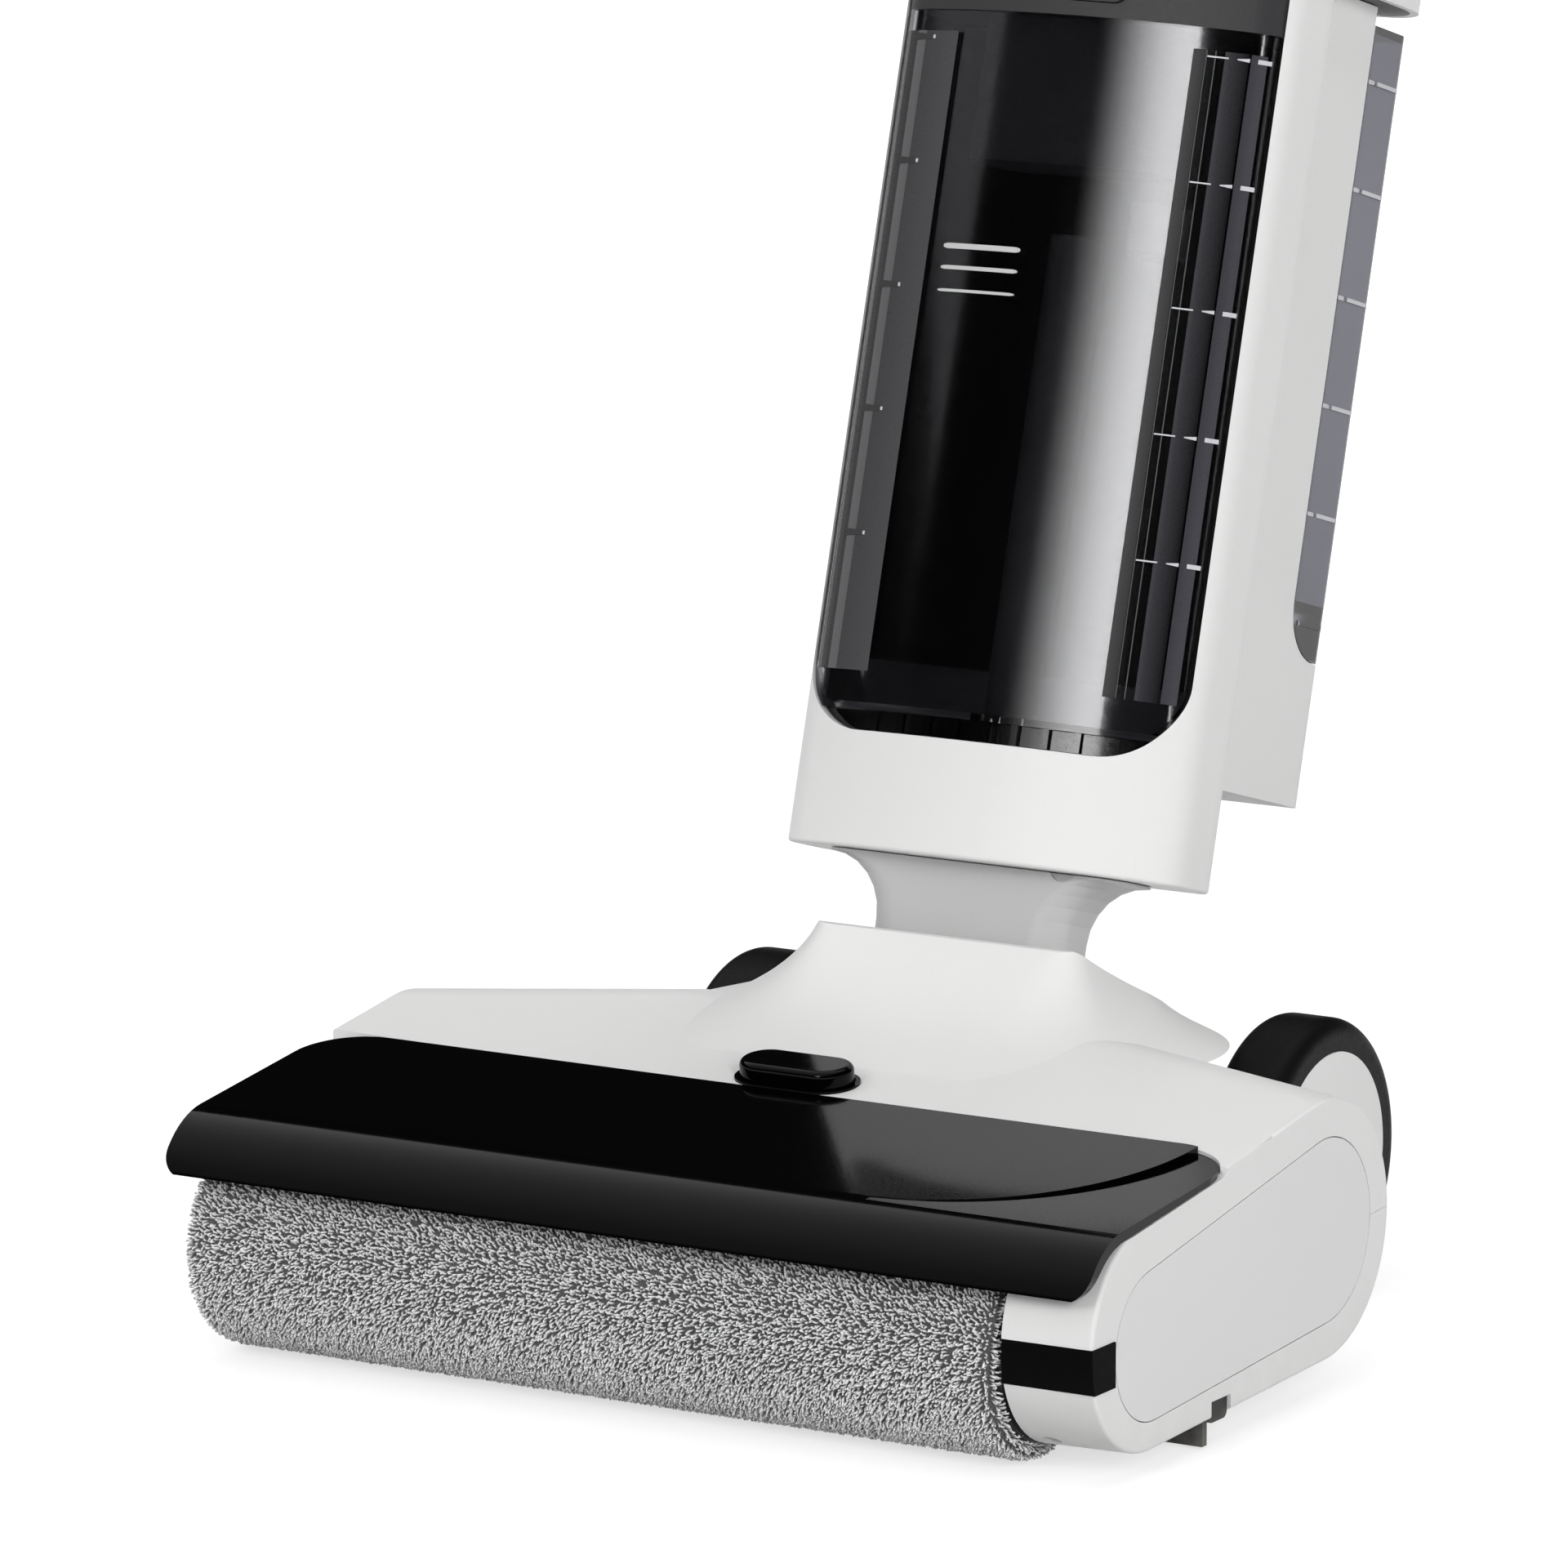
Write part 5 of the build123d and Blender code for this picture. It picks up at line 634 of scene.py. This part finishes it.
def make_panels(name, spans, steps, proud, material):
    """Upright panels at the tank's corners, each from one place across the front to another, for painted
    light and shade.
    """
    front = surface_of("dirty_tank")
    shape = bmesh.new()
    for near, far in spans:
        starts, halves = [], []
        for x in spread(near, far, steps):
            low = lowest_level(front, x)
            starts.append(upright_point(x, BEFORE_FRONT, (low + EDGE_HIGH) / 2))
            halves.append((EDGE_HIGH - low) / 2)
        wrap_strip(shape, front, starts, INWARD, halves, proud)
    made = to_object(name, shape)
    made.data.materials.append(material)
    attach(made, "dirty_water_tank")


def make_painted_panel(name, span, near, far):
    """A glossy opaque panel standing for the tank's inside seen through its corner, its painted light and
    shade running from one edge of the panel to the other.
    """
    made, tree, surface, coordinates = new_material(name)
    place = add(tree, "ShaderNodeSeparateXYZ", {0: coordinates})
    across = add(tree, "ShaderNodeMapRange", {"Value": place.outputs["X"], "From Min": span[0],
                                              "From Max": span[1]})
    tone = add(tree, "ShaderNodeMix", {0: across.outputs["Result"], 6: near, 7: far}, data_type="RGBA")
    skin = add_skin(tree, coordinates, tone.outputs[2], shade=0.08, gloss=PANEL_GLOSS, grain=1800.0)
    dress(tree, surface, skin.outputs["Colour"], skin.outputs["Roughness"], skin.outputs["Height"],
          strength=0.1, depth=0.00003)
    surface.inputs["Specular IOR Level"].default_value = PANEL_MIRROR
    return made


smoke_clear = make_smoke("smoke_clear", SMOKE, gloss=0.07, rim=0.02)
finish_nodes(smoke_clear, "dirty_tank")
finish_nodes(inner_dark, "dirty_tank_lid", "standpipe", "tank_latch")
finish_nodes(make_smoke("foot_smoke", FOOT_SMOKE, gloss=0.12), "dirty_tank_foot")
finish_nodes(moulded("filter_foam", FOAM_GREY, gloss=0.95, grain=380.0, depth=0.0009, shade=0.4),
             "tank_filter")
finish_nodes(moulded("float_grey", FLOAT_GREY, gloss=0.55, grain=1200.0, depth=0.0001), "tank_float")
level_bars = make_bars()
level_bars.data.materials.append(moulded("bar_print", PRINT_WHITE, gloss=0.5, grain=2500.0, depth=0.00002))
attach(level_bars, "dirty_water_tank")
# The tank's corner ribs: pale dashes as painted highlights, dark ones as painted shade.
rib_highlight = moulded("rib_highlight", RIB_HIGHLIGHT, gloss=0.4, grain=1500.0, depth=0.00002)
repeat_up("tank_corner_ribs", make_corner_rib(CORNER_RIB_GLINTS), CORNER_RIBS, CORNER_RIB_STEP, rib_highlight,
          "dirty_water_tank")
repeat_up("tank_corner_rib_shadows", make_corner_rib(CORNER_RIB_SHADOWS), CORNER_RIBS, CORNER_RIB_STEP, inner_dark,
          "dirty_water_tank")
# Painted light and shade behind the tank's corners.
for name, span, near, far, steps, layers in CORNER_PAINTED_PANELS:
    make_panels("tank_" + name, (span,), steps, layers * PANEL_PROUD, make_painted_panel(name, span, near, far))
# Thin lines on the tank's corner edges: painted highlights where the edges catch the light.
make_panels("tank_corner_edges", [(x - width / 2, x + width / 2) for x, width in CORNER_EDGE_GLINTS], 1, BAR_PROUD,
            moulded("corner_edge_glint", CORNER_GLINT_GREY, gloss=0.4, grain=1500.0, depth=0.00002, mirror=PANEL_MIRROR))

# Clean water tank: the same smoke-tinted shell in a lighter tint, ribbed for stiffness, closed by
# a dark cap and hung in the back of the upright.
SMOKE_PALE = (0.32, 0.32, 0.38, 1.0)
CLEAN_RIB_LOW = 0.1505
CLEAN_RIB_STEP = 0.0300
CLEAN_RIBS = 5
CLEAN_RIB_HEIGHT = 0.0011
CLEAN_RIB_FROM = 0.0532
CLEAN_RIB_TO = 0.0722
CLEAN_RIB_STEPS = 12
BESIDE_TANK = 0.09


def make_clean_rib():
    """One rib of the clean water tank on both of its sides; it is paler than the wall as a painted highlight
    along its edge.
    """
    wall = surface_of("clean_tank")
    shape = bmesh.new()
    for side in (1, -1):
        starts = [upright_point(side * BESIDE_TANK, y, CLEAN_RIB_LOW)
                  for y in spread(CLEAN_RIB_FROM, CLEAN_RIB_TO, CLEAN_RIB_STEPS)]
        halves = [CLEAN_RIB_HEIGHT / 2] * (CLEAN_RIB_STEPS + 1)
        wrap_strip(shape, wall, starts, Vector((-side, 0.0, 0.0)), halves, BAR_PROUD)
    return shape


finish_nodes(make_smoke("smoke_pale", SMOKE_PALE, gloss=0.08), "clean_tank")
finish_nodes(inner_dark, "clean_tank_cap")
# Ribs in the pale colour of a painted highlight.
repeat_up("clean_tank_ribs", make_clean_rib(), CLEAN_RIBS, CLEAN_RIB_STEP, rib_highlight, "clean_water_tank")

# Air outlet in the back of the rear housing: a short stack of slots moulded through its wall, drawn as
# dark strips on it: painted shade in place of the openings. Each slot is as wide as three fingers and
# a little taller at its middle than at its ends.
OUTLET_LOW = 0.0810
OUTLET_STEP = 0.0046
OUTLET_SLOTS = 6
OUTLET_HALF = 0.024
OUTLET_HEIGHT = 0.0021
OUTLET_SLOT_STEPS = 12
BEHIND_HOUSING = 0.14
slot = bmesh.new()
strip_across(slot, surface_of("rear_housing"), BEHIND_HOUSING, OUTLET_LOW, -OUTLET_HALF, OUTLET_HALF,
             capped(OUTLET_HEIGHT, OUTLET_SLOT_STEPS), BAR_PROUD)
repeat_up("air_outlet", slot, OUTLET_SLOTS, OUTLET_STEP, inner_dark, "upright")

# Power pieces inside the upright: a shrink-wrapped cell pack, a circuit board, a pump and the
# suction fan with its motor.
CELL_BLUE = (0.02, 0.05, 0.10, 1.0)
BOARD_GREEN = (0.01, 0.07, 0.03, 1.0)
finish_nodes(moulded("cell_wrap", CELL_BLUE, gloss=0.35, grain=500.0, depth=0.0002, shade=0.2),
             "battery_pack")
finish_nodes(moulded("board_green", BOARD_GREEN, gloss=0.4, grain=900.0, depth=0.0001, shade=0.4),
             "control_board")
finish_nodes(inner_dark, "water_pump", "fan_floor", "fan_shroud", "fan_impeller")
finish_nodes(metal("fan_can", CAN_STEEL, gloss=0.3, stretch=(900.0, 900.0, 40.0)), "fan_motor")

# Upper housing: a white moulding over the fan with a round gloss black display lens let into its
# front face. Four lit bars in the lens show the charge.
GAUGE_GREEN = (0.35, 0.75, 0.62, 1.0)
GAUGE_LOW = 0.3140
GAUGE_STEP = 0.0046
GAUGE_BARS = 4
GAUGE_HALF = 0.0065
GAUGE_HEIGHT = 0.0022
GAUGE_BAR_STEPS = 8
BEFORE_LENS = -0.10
finish_nodes(shell_white, "upper_housing")
finish_nodes(gloss_black, "display_lens")
gauge_light = moulded("gauge_light", GAUGE_GREEN, gloss=0.5, grain=2000.0, depth=0.00001)
gauge_bar = bmesh.new()
strip_across(gauge_bar, surface_of("display_lens"), BEFORE_LENS, GAUGE_LOW, -GAUGE_HALF, GAUGE_HALF,
             [GAUGE_HEIGHT / 2] * (GAUGE_BAR_STEPS + 1), BAR_PROUD)
repeat_up("charge_gauge", gauge_bar, GAUGE_BARS, GAUGE_STEP, gauge_light, "upright")

# Handle: a drawn aluminium tube, lacquered grey, and a white grip with three soft keys. Soft ridges
# on the grip's back, thinning out at their ends, give the fingers a hold.
TUBE_GREY = (0.40, 0.40, 0.41, 1.0)
RIDGE_LOW = 0.8500
RIDGE_STEP = 0.0055
RIDGES = 11
RIDGE_HALF = 0.0105
RIDGE_HEIGHT = 0.0026
RIDGE_PROUD = 0.0006
RIDGE_ALONG_STEPS = 12
RIDGE_THINNING = 0.75
BEHIND_GRIP = 0.12
finish_nodes(metal("tube_grey", TUBE_GREY, gloss=0.32, stretch=(900.0, 900.0, 30.0)), "handle_tube")
finish_nodes(shell_white, "grip")
finish_nodes(soft_black, "power_key", "mode_key", "self_clean_key")
ridge = bmesh.new()
ridge_halves = [RIDGE_HEIGHT / 2 * (1.0 - RIDGE_THINNING * t * t)
                for t in spread(-1.0, 1.0, RIDGE_ALONG_STEPS)]
strip_across(ridge, surface_of("grip"), BEHIND_GRIP, RIDGE_LOW, -RIDGE_HALF, RIDGE_HALF, ridge_halves,
             RIDGE_PROUD)
repeat_up("grip_ridges", ridge, RIDGES, RIDGE_STEP, soft_black, "upright")

# Small fixings: zinc-plated screws in the base and two nickel-plated charging contacts, both with
# fine marks that run no special way.
ZINC_PLATE = (0.58, 0.58, 0.57, 1.0)
CONTACT_NICKEL = (0.66, 0.62, 0.55, 1.0)
EVEN_MARKS = (700.0, 700.0, 700.0)
finish_nodes(metal("zinc_plate", ZINC_PLATE, gloss=0.3, stretch=EVEN_MARKS), "base_screws")
finish_nodes(metal("contact_nickel", CONTACT_NICKEL, gloss=0.22, stretch=EVEN_MARKS), "charge_contacts")

# Studio: a pale floor that keeps the machine's shadow, a bright horizon, a large ceiling panel,
# a front panel that fades to one side, a narrow key lamp at the right and soft fills all round.
FLOOR_WHITE = (0.50, 0.50, 0.50, 1.0)
FLOOR_HALF = 60.0
FLOOR_DROP = 0.0002
GLOW_NEAR = (0.3, 0.66)
GLOW_FAR = (2.2, 1.0)
HORIZON_LOW = 0.03
HORIZON_HIGH = 0.13
SKY_DARK = 0.012


def make_floor():
    """A wide plain floor, white to the camera and in mirrors, and shaded by the machine."""
    mesh = bpy.data.meshes.new("floor")
    corners = [(x * FLOOR_HALF, y * FLOOR_HALF, -FLOOR_DROP) for x, y in ((-1, -1), (1, -1), (1, 1), (-1, 1))]
    mesh.from_pydata(corners, [], [(0, 1, 2, 3)])
    made = new_object("floor", mesh)
    material, tree, surface, coordinates = new_material("floor_white")
    surface.inputs["Base Color"].default_value = FLOOR_WHITE
    surface.inputs["Roughness"].default_value = 1.0
    surface.inputs["Specular IOR Level"].default_value = 0.0
    path = tree.nodes.new("ShaderNodeLightPath")
    seen = add(tree, "ShaderNodeMath", {0: path.outputs["Is Camera Ray"], 1: path.outputs["Is Glossy Ray"]},
               operation="MAXIMUM")
    shown = add(tree, "ShaderNodeMath", {0: seen.outputs[0], 1: path.outputs["Is Transmission Ray"]},
                operation="MAXIMUM")
    away = add(tree, "ShaderNodeVectorMath", {0: coordinates}, operation="LENGTH")
    ramp = add(tree, "ShaderNodeMapRange", {"Value": away.outputs["Value"], "From Min": GLOW_NEAR[0],
                                            "From Max": GLOW_FAR[0], "To Min": GLOW_NEAR[1],
                                            "To Max": GLOW_FAR[1]}, interpolation_type="SMOOTHSTEP")
    glow = add(tree, "ShaderNodeMath", {0: shown.outputs[0], 1: ramp.outputs["Result"]}, operation="MULTIPLY")
    lit = add(tree, "ShaderNodeEmission", {"Strength": glow.outputs[0]})
    both = add(tree, "ShaderNodeAddShader", {0: surface.outputs[0], 1: lit.outputs[0]})
    tree.links.new(both.outputs[0], tree.nodes["Material Output"].inputs["Surface"])
    mesh.materials.append(material)


def make_world():
    """A white horizon that falls to a dark ceiling, so that polished black stays black."""
    world = bpy.data.worlds.new("studio")
    world.use_nodes = True
    tree = world.node_tree
    bpy.context.scene.world = world
    aim = tree.nodes.new("ShaderNodeTexCoord")
    parts = add(tree, "ShaderNodeSeparateXYZ", {0: aim.outputs["Generated"]})
    fall = add(tree, "ShaderNodeMapRange", {"Value": parts.outputs["Z"], "From Min": HORIZON_LOW,
                                            "From Max": HORIZON_HIGH, "To Min": 1.0, "To Max": SKY_DARK},
               interpolation_type="SMOOTHSTEP")
    tree.links.new(fall.outputs["Result"], tree.nodes["Background"].inputs["Strength"])
    tree.nodes["Background"].inputs["Color"].default_value = (1.0, 1.0, 1.0, 1.0)


def add_panel(name, place, target, size, power, fade=None, mirrored=True):
    """A soft lamp aimed at a target. Fade gives the way across it, where it grows and from what share."""
    lamp = bpy.data.lights.new(name, "AREA")
    lamp.shape = "RECTANGLE"
    lamp.size, lamp.size_y = size
    lamp.energy = power
    made = new_object(name, lamp)
    made.location = place
    made.rotation_euler = (Vector(target) - Vector(place)).to_track_quat("-Z", "Y").to_euler()
    made.visible_camera = False
    made.visible_glossy = mirrored
    if fade:
        way, start, end, share = fade
        lamp.use_nodes = True
        tree = lamp.node_tree
        spot = tree.nodes.new("ShaderNodeNewGeometry")
        across = add(tree, "ShaderNodeSeparateXYZ", {0: spot.outputs["Parametric"]})
        ramp = add(tree, "ShaderNodeMapRange", {"Value": across.outputs[way], "From Min": start,
                                                "From Max": end, "To Min": share, "To Max": 1.0},
                   interpolation_type="SMOOTHSTEP")
        tree.links.new(ramp.outputs["Result"], tree.nodes["Emission"].inputs["Strength"])


make_floor()
make_world()
add_panel("ceiling_panel", place=(-1.4, -1.4, 2.7), target=(-1.4, -1.38, 0.1), size=(5.6, 6.4),
          power=146.0, fade=("Y", 0.1, 1.0, 0.32))
add_panel("front_panel", place=(-0.58, -2.75, 1.40), target=(0.0, -0.05, 0.25), size=(1.35, 0.8),
          power=39.0, fade=("X", 0.1, 0.95, 0.0))
add_panel("right_key", place=(1.9, -1.9, 1.1), target=(0.0, -0.05, 0.25), size=(0.25, 1.3),
          power=36.0, mirrored=False)
add_panel("right_fill", place=(2.6, -0.1, 0.8), target=(0.0, 0.0, 0.25), size=(1.2, 1.2),
          power=13.0, mirrored=False)
add_panel("rear_fill", place=(-0.4, 2.7, 1.6), target=(0.0, 0.0, 0.4), size=(1.6, 1.6),
          power=24.0, mirrored=False)
add_panel("left_fill", place=(-2.2, -1.2, 1.5), target=(0.0, -0.1, 0.2), size=(1.2, 1.2),
          power=8.0, mirrored=False)

# Camera: a long lens from the front right, a little above the machine, as the photograph was taken.
# It looks down a little and stands level.
CAMERA_AT = (1.41630, -2.52391, 0.69826)
CAMERA_TURN = 30.96
CAMERA_DIP = 11.15
CAMERA_LENS = 245.8
CAMERA_SENSOR = 36.0
CAMERA_REACH = 200.0
eye = bpy.data.cameras.new("camera")
eye.lens = CAMERA_LENS
eye.sensor_width = CAMERA_SENSOR
eye.clip_end = CAMERA_REACH
camera = new_object("camera", eye)
camera.location = CAMERA_AT
camera.rotation_euler = Euler((radians(90.0 - CAMERA_DIP), 0.0, radians(CAMERA_TURN)))
bpy.context.scene.camera = camera
bpy.context.scene.view_settings.view_transform = "Standard"
